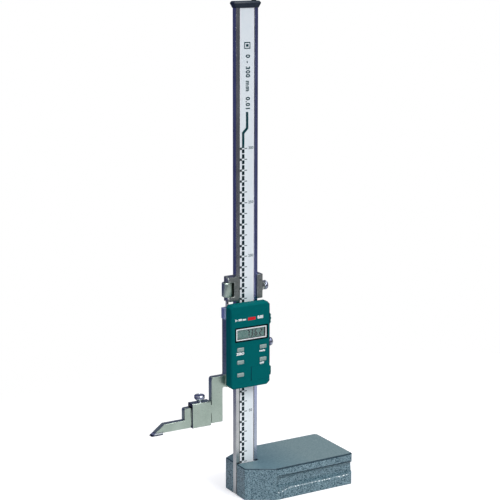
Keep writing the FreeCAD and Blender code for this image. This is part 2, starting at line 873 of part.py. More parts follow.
# The housing: a moulded cover with a window, key holes, a battery tray and a data port
def make_housing():
    body = new_body("display_housing")
    across = (housing_left, housing_right)
    add_block(body, across, (housing_face, housing_back), (housing_low, housing_high))
    top_corners = [{"x": side, "z": housing_high} for side in across]
    bottom_corners = [{"x": side, "z": housing_low} for side in across]
    dress(body, "Chamfer", size["housing_top_corner"], *top_corners)
    dress(body, "Chamfer", size["housing_bottom_corner"], *bottom_corners)
    dress(body, "Chamfer", size["housing_edge"], {"y": housing_face})
    wall = size["housing_wall"]
    inner_left = housing_left + wall
    inner_right = housing_right - wall
    inner_low = housing_low + wall
    inner_high = housing_high - wall
    top = size["housing_top_corner"]
    bottom = size["housing_bottom_corner"]
    cavity = [
        (inner_left + bottom, inner_low),
        (inner_right - bottom, inner_low),
        (inner_right, inner_low + bottom),
        (inner_right, inner_high - top),
        (inner_right - top, inner_high),
        (inner_left + top, inner_high),
        (inner_left, inner_high - top),
        (inner_left, inner_low + bottom),
    ]
    cut_prism(body, "y", wall_back, housing_back, cavity)
    for place_across, height in cover_screw_places:
        add_disc(body, "y", wall_back, housing_back, (place_across, height), size["boss_radius"])
    tray_wall = size["tray_wall"]
    tray_left = size["hatch_seam"] - tray_wall
    tray_heights = hatch_low - tray_wall, hatch_high + tray_wall
    add_block(body, (tray_left, inner_right), (wall_back, housing_back), tray_heights)
    tray_back = housing_back - tray_wall
    gap = size["fit_clearance"]
    hatch_hole_heights = hatch_low - gap, hatch_high + gap
    tray_cells = (size["hatch_seam"] - gap, housing_right), (housing_face, tray_back)
    cut_block(body, *tray_cells, hatch_hole_heights)
    for place_across, height in cover_screw_places:
        deep = frame_back - size["cover_screw_length"]
        cut_disc(body, "y", deep, housing_back, (place_across, height), size["cover_screw_radius"])
    rim = size["bezel_rim"]
    seat_back = housing_face + size["window_thickness"] + size["window_inset"]
    cut_block(body, (bezel_left, bezel_right), (housing_face, seat_back), (bezel_low, bezel_high))
    glass = (bezel_left + rim, bezel_right - rim), (seat_back, wall_back)
    cut_block(body, *glass, (bezel_low + rim, bezel_high - rim))
    for key_across, height in KEYS.values():
        half_width = size["key_width"] / 2 + size["key_clearance"]
        half_height = size["key_height"] / 2 + size["key_clearance"]
        sides = (key_across - half_width, key_across + half_width)
        levels = (height - half_height, height + half_height)
        cut_block(body, sides, (housing_face, wall_back), levels)
    port = (inner_right, housing_right), (port_face - gap, port_back + gap)
    cut_block(body, *port, (port_low - gap, port_high + gap))


# The display: a black bezel round a clear window, the liquid-crystal panel and its contact strips
def make_display():
    rim = size["bezel_rim"]
    seat_back = housing_face + size["window_thickness"] + size["window_inset"]
    bezel = new_body("display_bezel")
    face = housing_face - size["bezel_proud"]
    add_block(bezel, (bezel_left, bezel_right), (face, seat_back), (bezel_low, bezel_high))
    inside = (bezel_left + rim, bezel_right - rim), (face, seat_back)
    cut_block(bezel, *inside, (bezel_low + rim, bezel_high - rim))
    dress(bezel, "Chamfer", size["bezel_proud"] / 2, {"y": face})

    window = new_body("display_window")
    window_face = housing_face + size["window_inset"]
    glass_sides = (bezel_left + rim, bezel_right - rim)
    glass_heights = (bezel_low + rim, bezel_high - rim)
    add_block(window, glass_sides, (window_face, seat_back), glass_heights)

    panel = new_body("lcd_panel")
    panel_sides = (bezel_left + rim / 2, bezel_right - rim / 2)
    panel_heights = (bezel_low + rim / 2, bezel_high - rim / 2)
    panel_back = wall_back + size["panel_thickness"]
    add_block(panel, panel_sides, (wall_back, panel_back), panel_heights)

    strips = []
    strip = size["connector_height"]
    for low in (panel_heights[0], panel_heights[1] - strip):
        piece = new_body("contact_strip", published=False)
        add_block(piece, panel_sides, (panel_back, board_face), (low, low + strip))
        strips.append(piece)
    group("contact_strips", strips)


# The electronics: the main board on the frame's face and the reader plate over the scale
def make_boards():
    board = new_body("circuit_board")
    margin = size["board_margin"]
    left = housing_left + margin
    right = housing_right - margin
    low = housing_low + margin
    high = housing_high - margin - size["housing_top_corner"]
    tray_left = size["hatch_seam"] - size["tray_wall"] - size["fit_clearance"]
    tray_high = hatch_high + size["tray_wall"] + size["fit_clearance"]
    corner = size["housing_bottom_corner"]
    outline = [
        (left + corner, low),
        (tray_left, low),
        (tray_left, tray_high),
        (right, tray_high),
        (right, high),
        (left, high),
        (left, low + corner),
    ]
    add_prism(board, "y", board_face, housing_back, outline)
    boss_bore = size["boss_radius"] + size["fit_clearance"]
    for across, height in cover_screw_places:
        cut_disc(board, "y", board_face, housing_back, (across, height), boss_bore)

    reader = new_body("reader_plate")
    gap = size["reader_clearance"]
    sides = (reader_sides[0] + gap, reader_sides[1] - gap)
    heights = (tray_high + gap, reader_heights[1] - gap)
    add_block(reader, sides, (frame_face, frame_face + size["reader_thickness"]), heights)

    connector = new_body("data_connector")
    inner_right = housing_right - size["housing_wall"] - size["fit_clearance"] * 2
    depth = (port_face + size["fit_clearance"] * 2, board_face)
    ends = (port_low + size["housing_wall"] / 2, port_high - size["housing_wall"] / 2)
    add_block(connector, (inner_right - size["connector_length"], inner_right), depth, ends)


# The keys: five caps on a rubber mat, each held behind the housing wall by its flange
def make_keys():
    half_width = size["key_width"] / 2
    half_height = size["key_height"] / 2
    flange = size["key_flange"]
    flange_face = wall_back + size["edge_clearance"]
    flange_back = flange_face + size["key_flange_thickness"]
    dome_face = flange_back + size["key_travel"] + size["edge_clearance"]
    face = housing_face - size["key_proud"]
    for label, (across, height) in KEYS.items():
        key = new_body(label)
        cap = (across - half_width, across + half_width)
        cap_heights = (height - half_height, height + half_height)
        add_block(key, cap, (face, flange_face), cap_heights)
        dress(key, "Chamfer", size["key_proud"] / 3, {"y": face})
        skirt = (across - half_width - flange, across + half_width + flange)
        skirt_heights = (height - half_height - flange, height + half_height + flange)
        add_block(key, skirt, (flange_face, flange_back), skirt_heights)

    mat = new_body("key_mat")
    margin = size["mat_margin"]
    left = size["key_left"] - half_width
    right = size["key_right"] + half_width - margin
    top = key_rows[0] + half_height + flange
    bridge = key_rows[1] - half_height - flange
    low = key_rows[2] - half_height - flange
    outline = [
        (left, low),
        (size["key_left"] + half_width, low),
        (size["key_left"] + half_width, bridge),
        (right, bridge),
        (right, top),
        (left, top),
    ]
    add_prism(mat, "y", mat_face, board_face, outline)
    for across, height in KEYS.values():
        add_disc(mat, "y", dome_face, mat_face, (across, height), size["dome_radius"])


# The battery: a button cell on its contacts, behind a cover that slides off to the right
def make_battery():
    centre = (size["battery_shift"], slider + size["battery_rise"])
    radius = size["battery_radius"]
    tray_back = housing_back - size["tray_wall"]
    contact = size["contact_thickness"]
    cell_back = tray_back - contact
    cell = new_body("battery")
    add_disc(cell, "y", cell_back - size["battery_thickness"], cell_back, centre, radius)
    rear = new_body("rear_contact", published=False)
    add_disc(rear, "y", cell_back, tray_back, centre, radius * 0.7)
    side = new_body("side_contact", published=False)
    side_left = size["battery_shift"] + radius
    half_strip = radius * 0.6
    side_heights = (centre[1] - half_strip, centre[1] + half_strip)
    side_depth = (cell_back - size["battery_thickness"] * 0.8, tray_back)
    add_block(side, (side_left, side_left + contact), side_depth, side_heights)
    group("battery_contacts", [rear, side])

    cover = new_body("battery_cover")
    wall = size["housing_wall"]
    hatch_back = housing_face + size["hatch_thickness"]
    tray = tray_back - size["fit_clearance"]
    front = (size["hatch_seam"], housing_right), (housing_face, hatch_back)
    add_block(cover, *front, (hatch_low, hatch_high))
    end = (housing_right - wall, housing_right), (hatch_back, tray)
    add_block(cover, *end, (hatch_low, hatch_high))
    dress(cover, "Chamfer", size["housing_edge"], {"x": housing_right, "y": housing_face})
    grip_low = (hatch_low + hatch_high) / 2 - size["hatch_grip_height"] / 2
    grip_high = grip_low + size["hatch_grip_height"]
    grip_face = hatch_back
    grip = (housing_right, housing_right + size["hatch_grip"]), (grip_face, tray)
    add_block(cover, *grip, (grip_low, grip_high))
    dress(cover, "Chamfer", size["hatch_grip"] / 2, {"x": housing_right + size["hatch_grip"]})


# The data port's cover: a plug in the right-hand wall with a raised ribbed grip
def make_port_cover():
    cover = new_body("port_cover")
    wall = size["housing_wall"]
    plug = (housing_right - wall, housing_right), (port_face, port_back)
    add_block(cover, *plug, (port_low, port_high))
    rib = size["port_height"] / 5
    for step in (0, 2, 4):
        low = port_low + rib * step
        ridge = (housing_right, housing_right + size["hatch_grip"]), (port_face, port_back)
        add_block(cover, *ridge, (low, low + rib))
    thin = (housing_right, housing_right + size["hatch_grip"] / 2), (port_face, port_back)
    add_block(cover, *thin, (port_low, port_high))


# Small screws from behind the frame hold the housing
def make_cover_screws():
    screws = []
    seat = frame_back - size["cover_screw_head_height"]
    for across, height in cover_screw_places:
        shank = size["cover_screw_length"] - size["cover_screw_head_height"]
        head = size["cover_screw_head_height"]
        radius = size["cover_screw_radius"]
        profile = screw_profile(radius, shank, size["cover_screw_head_radius"], head)
        screw = turned("cover_screw", profile, (across, seat, height), "+y", published=False)
        slot = radius / 4
        arm = size["cover_screw_head_radius"] * 0.6
        cut_block(screw, (-slot, slot), (-arm, arm), (head - slot * 2, head))
        cut_block(screw, (-arm, arm), (-slot, slot), (head - slot * 2, head))
        screws.append(screw)
    group("cover_screws", screws)


# A clamping screw from the right: a brass pad at its end meets the beam or the gib
def make_lock(name, height, pad_left, head_left, head_radius, head_length):
    pad_radius = size["screw_radius"]
    pad = size["pad_thickness"]
    profile = [(0, 0), (pad_radius, 0), (pad_radius, pad), (0, pad)]
    turned(f"{name}_pad", profile, (pad_left, 0, height), "+x")
    shank = head_left - pad_left - pad
    dish = head_length / 4
    screw = [
        (0, -shank),
        (size["screw_radius"], -shank),
        (size["screw_radius"], 0),
        (head_radius * 0.75, 0),
        (head_radius, dish),
        (head_radius, head_length - dish),
        (head_radius * 0.85, head_length),
        (0, head_length),
    ]
    turned(f"{name}_screw", screw, (head_left, 0, height), "+x")


# The fine-adjust carriage: a block clamped to the beam, with a pocket for the adjusting nut
def make_carriage():
    body = new_body("carriage_block")
    left = -size["carriage_left"]
    right = size["carriage_right"]
    depth = size["carriage_half_depth"]
    add_block(body, (left, right), (-depth, depth), (carriage_low, carriage_high))
    dress(body, "Chamfer", size["carriage_corner"], {"x": left, "y": -depth}, {"x": left, "y": depth})
    gap = size["edge_clearance"] * 2
    face_gap = size["face_clearance"]
    channel = (beam_left - gap, beam_right + gap), (beam_face - face_gap, beam_back + face_gap)
    cut_block(body, *channel, (carriage_low, carriage_high))
    front = (beam_left + size["lip"], beam_right - size["carriage_lip_right"])
    cut_block(body, front, (-depth, beam_face - face_gap), (carriage_low, carriage_high))
    pocket = (left, beam_left - gap - size["pocket_web"]), (-depth, depth)
    cut_block(body, *pocket, (pocket_low, pocket_high))
    rod_bore = size["rod_radius"] + size["fit_clearance"] * 2
    for low, high in ((carriage_low, pocket_low), (pocket_high, carriage_high)):
        cut_disc(body, "z", low, high, (rod_axis, 0), rod_bore)
    boss_end = right + size["carriage_boss_length"]
    lock = (0, carriage_lock)
    add_disc(body, "x", right, boss_end, lock, size["carriage_boss_radius"])
    cut_disc(body, "x", beam_right, boss_end, lock, screw_bore)


carriage_low = slider + size["carriage_rise"]
carriage_high = carriage_low + size["carriage_height"]
pocket_low = carriage_low + size["pocket_rise"]
pocket_high = pocket_low + size["pocket_height"]
carriage_lock = carriage_low + size["carriage_lock_rise"]


# The fine adjustment: a threaded rod pinned in the slider frame and a knurled nut in the carriage
def make_fine_adjustment():
    rod_low = frame_high - size["rod_foot"]
    rod_high = carriage_high - size["rod_head"]
    rod = new_body("fine_adjust_rod")
    add_disc(rod, "z", rod_low, rod_high, (rod_axis, 0), size["rod_radius"])
    rod_side = size["rod_radius"]
    pin_place = (rod_axis, pin_height)
    dress(rod, "Chamfer", size["rod_radius"] / 5, {"z": rod_high})
    cut_disc(rod, "y", -rod_side, rod_side, pin_place, size["rod_pin_radius"])
    pin = new_body("rod_pin")
    add_disc(pin, "y", frame_face, frame_back, pin_place, size["rod_pin_radius"])

    low = pocket_low + size["nut_clearance"]
    height = size["pocket_height"] - size["nut_clearance"] * 2
    bore = size["rod_radius"] + size["thread_clearance"]
    rim = size["nut_rim"]
    radius = size["nut_radius"]
    profile = [
        (bore, 0),
        (radius - rim, 0),
        (radius, rim),
        (radius, height - rim),
        (radius - rim, height),
        (bore, height),
    ]
    turned("fine_adjust_nut", profile, (rod_axis, 0, low))


make_base()
make_beam()
make_cap()
make_frame()
make_guides()
make_scriber()
make_clamp()
make_housing()
make_display()
make_boards()
make_keys()
make_battery()
make_port_cover()
make_cover_screws()
make_lock(
    "slider_lock",
    lock_height,
    gib_right + size["lock_gap"],
    frame_right + size["slider_lock_neck"],
    size["slider_lock_head_radius"],
    size["slider_lock_head_length"],
)
make_carriage()
make_fine_adjustment()
make_lock(
    "carriage_lock",
    carriage_lock,
    beam_right + size["lock_gap"],
    size["carriage_right"] + size["carriage_boss_length"] + size["carriage_lock_neck"],
    size["carriage_lock_head_radius"],
    size["carriage_lock_head_length"],
)

doc.recompute()
faults = [item.Name for item in doc.Objects if {"Invalid", "Error"} & set(item.State)]
for node in nodes:
    if node.Shape.isNull() or not node.Shape.isValid() or not node.Shape.Solids:
        faults.append(node.Label)
if faults:
    raise ValueError(f"objects that failed: {faults}")

os.makedirs("parts", exist_ok=True)
for node in nodes:
    node.Shape.exportStep(f"parts/{node.Label}.step")
print(len(nodes), "nodes")
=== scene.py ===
"""The looks of a digital height gauge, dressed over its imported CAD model.

The sections follow the order in which the gauge is put together: base, beam, scale, cap, slider,
electronics, display housing, display, keys, covers, locks, fine adjustment, scriber and clamp.
"""
import json
import math

import bmesh
import bpy
from mathutils import Matrix, Vector

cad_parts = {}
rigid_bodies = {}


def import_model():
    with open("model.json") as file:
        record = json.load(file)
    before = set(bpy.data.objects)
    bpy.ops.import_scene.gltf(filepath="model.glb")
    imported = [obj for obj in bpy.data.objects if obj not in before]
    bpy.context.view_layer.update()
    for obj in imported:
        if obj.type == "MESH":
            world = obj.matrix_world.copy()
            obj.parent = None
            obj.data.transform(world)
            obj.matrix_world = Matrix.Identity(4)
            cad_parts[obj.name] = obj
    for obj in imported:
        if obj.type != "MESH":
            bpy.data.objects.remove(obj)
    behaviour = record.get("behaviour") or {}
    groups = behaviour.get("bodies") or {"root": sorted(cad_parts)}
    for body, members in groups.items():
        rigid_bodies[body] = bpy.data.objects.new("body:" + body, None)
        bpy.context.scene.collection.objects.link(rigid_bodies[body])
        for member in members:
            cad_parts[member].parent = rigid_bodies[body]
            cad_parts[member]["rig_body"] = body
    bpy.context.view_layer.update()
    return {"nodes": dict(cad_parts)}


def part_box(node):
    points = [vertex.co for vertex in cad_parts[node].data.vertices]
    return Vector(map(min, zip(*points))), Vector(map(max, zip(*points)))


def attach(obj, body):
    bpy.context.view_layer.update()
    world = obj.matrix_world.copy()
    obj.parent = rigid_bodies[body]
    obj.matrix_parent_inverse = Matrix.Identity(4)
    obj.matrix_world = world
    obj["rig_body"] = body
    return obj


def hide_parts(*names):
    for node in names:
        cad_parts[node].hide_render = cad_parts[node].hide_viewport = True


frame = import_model()

# Studio: a white sheet under the gauge, a large soft light from the front right, a weak one from the left
# and one overhead. Low down the room is dark, warm at the front right and blue at the back left, and this
# shows only in the steel.
MM = 0.001
CAMERA_PLACE = Vector((-655.8, -1129.6, 522.6)) * MM
CAMERA_YAW = math.radians(-29.91)
CAMERA_PITCH = math.radians(13.31)
CAMERA_LENS = 104.3
CAMERA_SHIFT = (0.0208, 0.0498)
SHEET_HALF = 1.6
SHEET_MIDDLE = Vector((0.10, -0.185, 0))
SHEET_FADE = (0.22, 0.60)
SHEET_GLOW = 0.42
SHEET_DROP = 0.1 * MM
PAPER_WHITE = (0.88, 0.88, 0.88, 1)
ROOM_BLUE = (0.058, 0.066, 0.195)
ROOM_WARM = (0.13, 0.13, 0.16)
ROOM_LIGHT = Vector((0.62, -0.78, 0.0))
ROOM_SPREAD = 0.7
TENT_HEIGHTS = (0.42, 0.95)
TENT_GLOW = 0.55
LAMPS = {
    "key": ((1.1, -3.2, 3.2), 2.0, 112.0),
    "fill": ((-2.2, -1.0, 0.35), 0.8, 7.0),
    "top": ((-0.15, -0.1, 2.2), 0.9, 17.0),
}
LAMP_AIM = Vector((0, 0, 0.2))

camera_data = bpy.data.cameras.new("camera")
camera_data.lens = CAMERA_LENS
camera_data.shift_x, camera_data.shift_y = CAMERA_SHIFT
camera_data.clip_start = 0.01
camera = bpy.data.objects.new("camera", camera_data)
camera.location = CAMERA_PLACE
camera.rotation_euler = (math.radians(90) - CAMERA_PITCH, 0, CAMERA_YAW)
scene = bpy.context.scene
scene.collection.objects.link(camera)
scene.camera = camera
scene.view_settings.view_transform = "Standard"


def shader(tree, kind, *inputs, **settings):
    """One shader node; each input is a socket's name or number, with a value or a socket to link."""
    made = tree.nodes.new("ShaderNode" + kind)
    for name, value in settings.items():
        setattr(made, name, value)
    for name, value in inputs:
        if isinstance(value, bpy.types.NodeSocket):
            tree.links.new(value, made.inputs[name])
        else:
            made.inputs[name].default_value = value
    return made


def ranged(tree, value, low, high, start=0.0, stop=1.0):
    """A value between two bounds, spread over another range."""
    bounds = ("From Min", low), ("From Max", high), ("To Min", start), ("To Max", stop)
    return shader(tree, "MapRange", ("Value", value), *bounds).outputs["Result"]


def colour_of(value):
    """A colour with its alpha for a socket, or a socket as it is."""
    return value if isinstance(value, bpy.types.NodeSocket) else (*value, 1)


def mixed(tree, mask, first, second):
    """Two colours over a mask, each one a colour or a socket."""
    both = (6, colour_of(first)), (7, colour_of(second))
    return shader(tree, "Mix", (0, mask), *both, data_type="RGBA").outputs[2]


sheet_mesh = bpy.data.meshes.new("paper_sheet")
corners = [(x * SHEET_HALF, y * SHEET_HALF, 0) for x, y in ((-1, -1), (1, -1), (1, 1), (-1, 1))]
sheet_mesh.from_pydata(corners, [], [(0, 1, 2, 3)])
paper = bpy.data.materials.new("paper")
paper.use_nodes = True
tree = paper.node_tree
body = tree.nodes["Principled BSDF"]
body.inputs["Base Color"].default_value = PAPER_WHITE
body.inputs["Roughness"].default_value = 0.8
body.inputs["Specular IOR Level"].default_value = 0.1
body.inputs["Emission Color"].default_value = (1, 1, 1, 1)
from_camera = shader(tree, "LightPath").outputs["Is Camera Ray"]
tree.links.new(ranged(tree, from_camera, 0, 1, 0, SHEET_GLOW), body.inputs["Emission Strength"])
where = shader(tree, "TexCoord").outputs["Object"]
apart = shader(tree, "VectorMath", (0, where), (1, SHEET_MIDDLE), operation="DISTANCE")
tree.links.new(ranged(tree, apart.outputs["Value"], *SHEET_FADE, 1, 0), body.inputs["Alpha"])
sheet_mesh.materials.append(paper)
sheet = bpy.data.objects.new("paper_sheet", sheet_mesh)
sheet.location.z = -SHEET_DROP
scene.collection.objects.link(sheet)

world = bpy.data.worlds.new("light_tent")
scene.world = world
world.use_nodes = True
tree = world.node_tree
tree.nodes.clear()
around = shader(tree, "TexCoord").outputs["Generated"]
towards = shader(tree, "VectorMath", (0, around), (1, ROOM_LIGHT), operation="DOT_PRODUCT")
room = mixed(tree, ranged(tree, towards.outputs["Value"], -ROOM_SPREAD, ROOM_SPREAD), ROOM_BLUE, ROOM_WARM)
split = shader(tree, "SeparateXYZ", (0, around))
tent = mixed(tree, ranged(tree, split.outputs["Z"], *TENT_HEIGHTS), room, (TENT_GLOW, TENT_GLOW, TENT_GLOW))
lit = shader(tree, "Background", ("Color", tent), ("Strength", 1.0))
seen = shader(tree, "Background", ("Color", (1.0, 1.0, 1.0, 1)), ("Strength", 1.0))
from_camera = shader(tree, "LightPath").outputs["Is Camera Ray"]
sky = shader(tree, "MixShader", ("Fac", from_camera), (1, lit.outputs[0]), (2, seen.outputs[0]))
shader(tree, "OutputWorld", ("Surface", sky.outputs[0]))

for name, (where, width, watts) in LAMPS.items():
    lamp_data = bpy.data.lights.new(name, "AREA")
    lamp_data.energy = watts
    lamp_data.size = width
    lamp = bpy.data.objects.new(name, lamp_data)
    lamp.location = where
    lamp.rotation_euler = (LAMP_AIM - Vector(where)).to_track_quat("-Z", "Y").to_euler()
    scene.collection.objects.link(lamp)

# Base: an iron casting in hammered blue-grey enamel with its top ground flat. The grip grooves are cast in,
# and the slot for the beam is milled through the nose.
GROUND, DARK, LIP_HIGHLIGHT = 1, 2, 3
HAMMER_CELL = 0.85 * MM
CAST_EDGE = 0.35 * MM
TOP_EDGE = 0.7 * MM
TOP_BAND = 1.1 * MM
# The grip groove's lower lip takes a pale, broken painted highlight, and its upper lip takes the dark edge
# enamel as painted shade.
GRIP_LIPS = ((6 * MM, 16.5 * MM, 0.6 * MM, LIP_HIGHLIGHT), (16.5 * MM, 25 * MM, 1.0 * MM, DARK))
NOSE_LENGTH = 26.0 * MM
NOSE_HALF = 18.3 * MM
END_PAINTED_SHADE = (0.74, 0.82, 0.82)
END_FADE = (0.5 * MM, 0.05 * MM)
TOP_PAINTED_SHADE = (0.70, 0.84, 0.93)
TOP_FADE = (-60 * MM, -15 * MM)
PLAIN_WIDTH = 2.2 * MM
MERGE_REACH = 2e-6
NEAR = 0.1 * MM
FLAT_ANGLE = 0.6
SAME_WAY = 0.999
LEVEL = 0.99
SLOPE = 0.2
RISE_SHARE = 0.9
LEFT = (-1, 0, 0)


def new_group(name, inputs, outputs):
    """An empty shader node group with named inputs (and their values) and outputs (and their kinds)."""
    group = bpy.data.node_groups.new(name, "ShaderNodeTree")
    for label, (kind, value) in inputs.items():
        socket = group.interface.new_socket(label, in_out="INPUT", socket_type="NodeSocket" + kind)
        socket.default_value = value
    for label, kind in outputs.items():
        group.interface.new_socket(label, in_out="OUTPUT", socket_type="NodeSocket" + kind)
    given = group.nodes.new("NodeGroupInput").outputs
    wanted = group.nodes.new("NodeGroupOutput").inputs
    return group, given, wanted


def placed(tree, group, **values):
    """The outputs of one use of a node group, which has its own values."""
    made = tree.nodes.new("ShaderNodeGroup")
    made.node_tree = group
    for name, value in values.items():
        made.inputs[name].default_value = value
    return made.outputs


def blended(tree, share, first, second):
    """Two values in a share of the second."""
    return shader(tree, "Mix", (0, share), (2, first), (3, second), data_type="FLOAT").outputs[0]


# Cells are irregular dimples of one size, as in hammered enamel or a spark-eroded mould
cells, given, wanted = new_group(
    "cells", {"Size": ("Float", 0.001), "Uneven": ("Float", 0.5)}, {"Dimple": "Float", "Shade": "Float"}
)
where = shader(cells, "TexCoord").outputs["Object"]
count = shader(cells, "Math", (0, 1.0), (1, given["Size"]), operation="DIVIDE").outputs[0]
spots = shader(cells, "TexVoronoi", ("Vector", where), ("Scale", count), feature="SMOOTH_F1")
noise = shader(cells, "TexNoise", ("Vector", where), ("Scale", count), ("Detail", 3.0)).outputs["Fac"]
dimple = blended(cells, given["Uneven"], spots.outputs["Distance"], noise)
cells.links.new(dimple, wanted["Dimple"])
fewer = shader(cells, "Math", (0, count), (1, 0.7), operation="MULTIPLY").outputs[0]
broad = shader(cells, "TexNoise", ("Vector", where), ("Scale", fewer), ("Detail", 4.0)).outputs["Fac"]
cells.links.new(blended(cells, 0.5, broad, dimple), wanted["Shade"])

# The edges mask covers the edges, where handling and grinding change a finish, and where the light that
# edges catch is painted into the colour as a highlight
edges, given, wanted = new_group("edges", {"Reach": ("Float", 0.0006)}, {"Wear and light": "Float"})
rounded = shader(edges, "Bevel", ("Radius", given["Reach"]), samples=6).outputs["Normal"]
surface = shader(edges, "NewGeometry").outputs["Normal"]
straight = shader(edges, "VectorMath", (0, rounded), (1, surface), operation="DOT_PRODUCT").outputs["Value"]
edges.links.new(ranged(edges, straight, 0.99, 0.80), wanted["Wear and light"])

# Stretch is a mask that rises between two places along an axis of the piece
stretch, given, wanted = new_group(
    "stretch",
    {"Axis": ("Vector", (1, 0, 0)), "From": ("Float", 0.0), "To": ("Float", 0.001)},
    {"Mask": "Float"},
)
where = shader(stretch, "TexCoord").outputs["Object"]
along = shader(stretch, "VectorMath", (0, where), (1, given["Axis"]), operation="DOT_PRODUCT")
stretch.links.new(ranged(stretch, along.outputs["Value"], given["From"], given["To"]), wanted["Mask"])


def colour_ramp(tree, mask, low, dark, high, light):
    """Two colours over a mask, from dark at low to light at high."""
    return mixed(tree, ranged(tree, mask, low, high), dark, light)


def finish_of(name, specular=0.5, **plain):
    """A new material, its node tree and its Principled shader with some plain numbers set."""
    material = bpy.data.materials.new(name)
    material.use_nodes = True
    body = material.node_tree.nodes["Principled BSDF"]
    body.inputs["Specular IOR Level"].default_value = specular
    for label, value in plain.items():
        body.inputs[label.replace("_", " ").title()].default_value = value
    return material, material.node_tree, body


def raised(tree, body, height, depth):
    """Bump a surface by a height mask of some depth in metres."""
    bump = shader(tree, "Bump", ("Height", height), ("Distance", depth))
    tree.links.new(bump.outputs["Normal"], body.inputs["Normal"])


def moulded(
    name, size, dark, light, roughness, depth, wear_and_light=None, reach=0.0005, specular=0.5, spread=(0.36, 0.64)
):
    """Enamel, plastic, rubber or ink in two shades over cells of one size, and in another at its edges, for
    wear and painted edge light.
    """
    material, tree, body = finish_of(name, specular)
    texture = placed(tree, cells, Size=size)
    colour = colour_ramp(tree, texture["Shade"], spread[0], dark, spread[1], light)
    if wear_and_light:
        colour = mixed(tree, placed(tree, edges, Reach=reach)["Wear and light"], colour, wear_and_light)
    tree.links.new(colour, body.inputs["Base Color"])
    rough = ranged(tree, texture["Shade"], 0.3, 0.7, roughness - 0.06, roughness + 0.06)
    tree.links.new(rough, body.inputs["Roughness"])
    raised(tree, body, texture["Dimple"], depth)
    return material


def tinted(material, tint, axis, start, stop):
    """Multiply a finish by a colour, or by a colour socket, past a stretch along an axis of its piece. Each
    use here paints shade.
    """
    tree = material.node_tree
    colour = tree.nodes["Principled BSDF"].inputs["Base Color"]
    mask = placed(tree, stretch, Axis=axis, From=start, To=stop)["Mask"]
    both = (6, colour.links[0].from_socket), (7, colour_of(tint))
    made = shader(tree, "Mix", (0, mask), *both, data_type="RGBA", blend_type="MULTIPLY")
    tree.links.new(made.outputs[2], colour)


def joined_copy(node):
    """A CAD node's mesh with its triangles joined up into whole faces, open for work."""
    form = bmesh.new()
    form.from_mesh(frame["nodes"][node].data)
    bmesh.ops.remove_doubles(form, verts=form.verts, dist=MERGE_REACH)
    flat = math.radians(FLAT_ANGLE)
    bmesh.ops.dissolve_limit(form, angle_limit=flat, verts=form.verts, edges=form.edges)
    return form


def sharp_edges(form, least=28.0):
    """The edges where two faces meet at more than some degrees."""
    least = math.radians(least)
    return [edge for edge in form.edges if edge.is_manifold and edge.calc_face_angle() > least]


def is_upright(edge):
    """Whether an edge rises over most of its length."""
    start, end = (vert.co for vert in edge.verts)
    return abs(start.z - end.z) > RISE_SHARE * edge.calc_length()


def is_wide(face):
    """Whether a face is a plain surface rather than a facet of a rounding."""
    return face.calc_area() >= PLAIN_WIDTH * max(edge.calc_length() for edge in face.edges)


def round_over(form, chosen, radius, steps=2, finish=-1):
    """Round some edges, with one of the form's materials on the rounding, and keep wide faces plane."""
    planes = [(face.normal.copy(), face.verts[0].co.copy()) for face in form.faces if is_wide(face)]
    bmesh.ops.bevel(
        form, geom=chosen, offset=radius, segments=steps, profile=0.5, affect="EDGES", material=finish
    )
    form.normal_update()
    for face in filter(is_wide, form.faces):
        middle = face.calc_center_median()
        for normal, point in planes:
            if face.normal.dot(normal) > SAME_WAY and abs(normal.dot(middle - point)) < NEAR:
                for vert in face.verts:
                    vert.co -= normal * normal.dot(vert.co - point)
                break


def piece_of(form, name, body, slot, *materials, crease=42.0):
    """A finished form as a piece that rides on a body, in the given materials; the slot is not used. Its
    wide faces are flat, and the narrow ones of roundings and curves are smooth."""
    curved = [not is_wide(face) for face in form.faces]
    mesh = bpy.data.meshes.new(name)
    form.to_mesh(mesh)
    form.free()
    if "custom_normal" in mesh.attributes:
        mesh.attributes.remove(mesh.attributes["custom_normal"])
    mesh.set_sharp_from_angle(angle=math.radians(crease))
    mesh.polygons.foreach_set("use_smooth", curved)
    for material in materials:
        mesh.materials.append(material)
    piece = bpy.data.objects.new(name, mesh)
    scene.collection.objects.link(piece)
    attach(piece, body)
    return piece


def dress(form, node, name, slot, *materials, crease=42.0):
    """A finished form as the piece that stands for a CAD node."""
    piece = piece_of(form, name, frame["nodes"][node]["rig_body"], slot, *materials, crease=crease)
    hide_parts(node)
    return piece


enamel = moulded(
    "hammered_enamel", HAMMER_CELL, (0.030, 0.080, 0.108), (0.25, 0.385, 0.44), 0.30, 0.00022,
    spread=(0.40, 0.60),
)
ground_top = moulded(
    "ground_top", 1.3 * MM, (0.145, 0.225, 0.235), (0.24, 0.325, 0.335), 0.42, 0.00001, specular=0.35
)
edge_enamel = moulded(
    "edge_enamel", 1.4 * MM, (0.006, 0.022, 0.036), (0.04, 0.085, 0.11), 0.40, 0.00002, specular=0.3
)
# Pale enamel for the painted highlight on the grip groove's lower lip.
lip_highlight_enamel = moulded(
    "lip_highlight_enamel", 1.7 * MM, (0.10, 0.19, 0.23), (0.90, 0.97, 0.97), 0.30, 0.00008, specular=0.6,
    spread=(0.50, 0.55),
)
base_low, base_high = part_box("base_casting")
base_top = base_high.z
# Painted shade: the enamel is darker on the base's left end face.
tinted(enamel, END_PAINTED_SHADE, LEFT, *(-base_low.x - inset for inset in END_FADE))
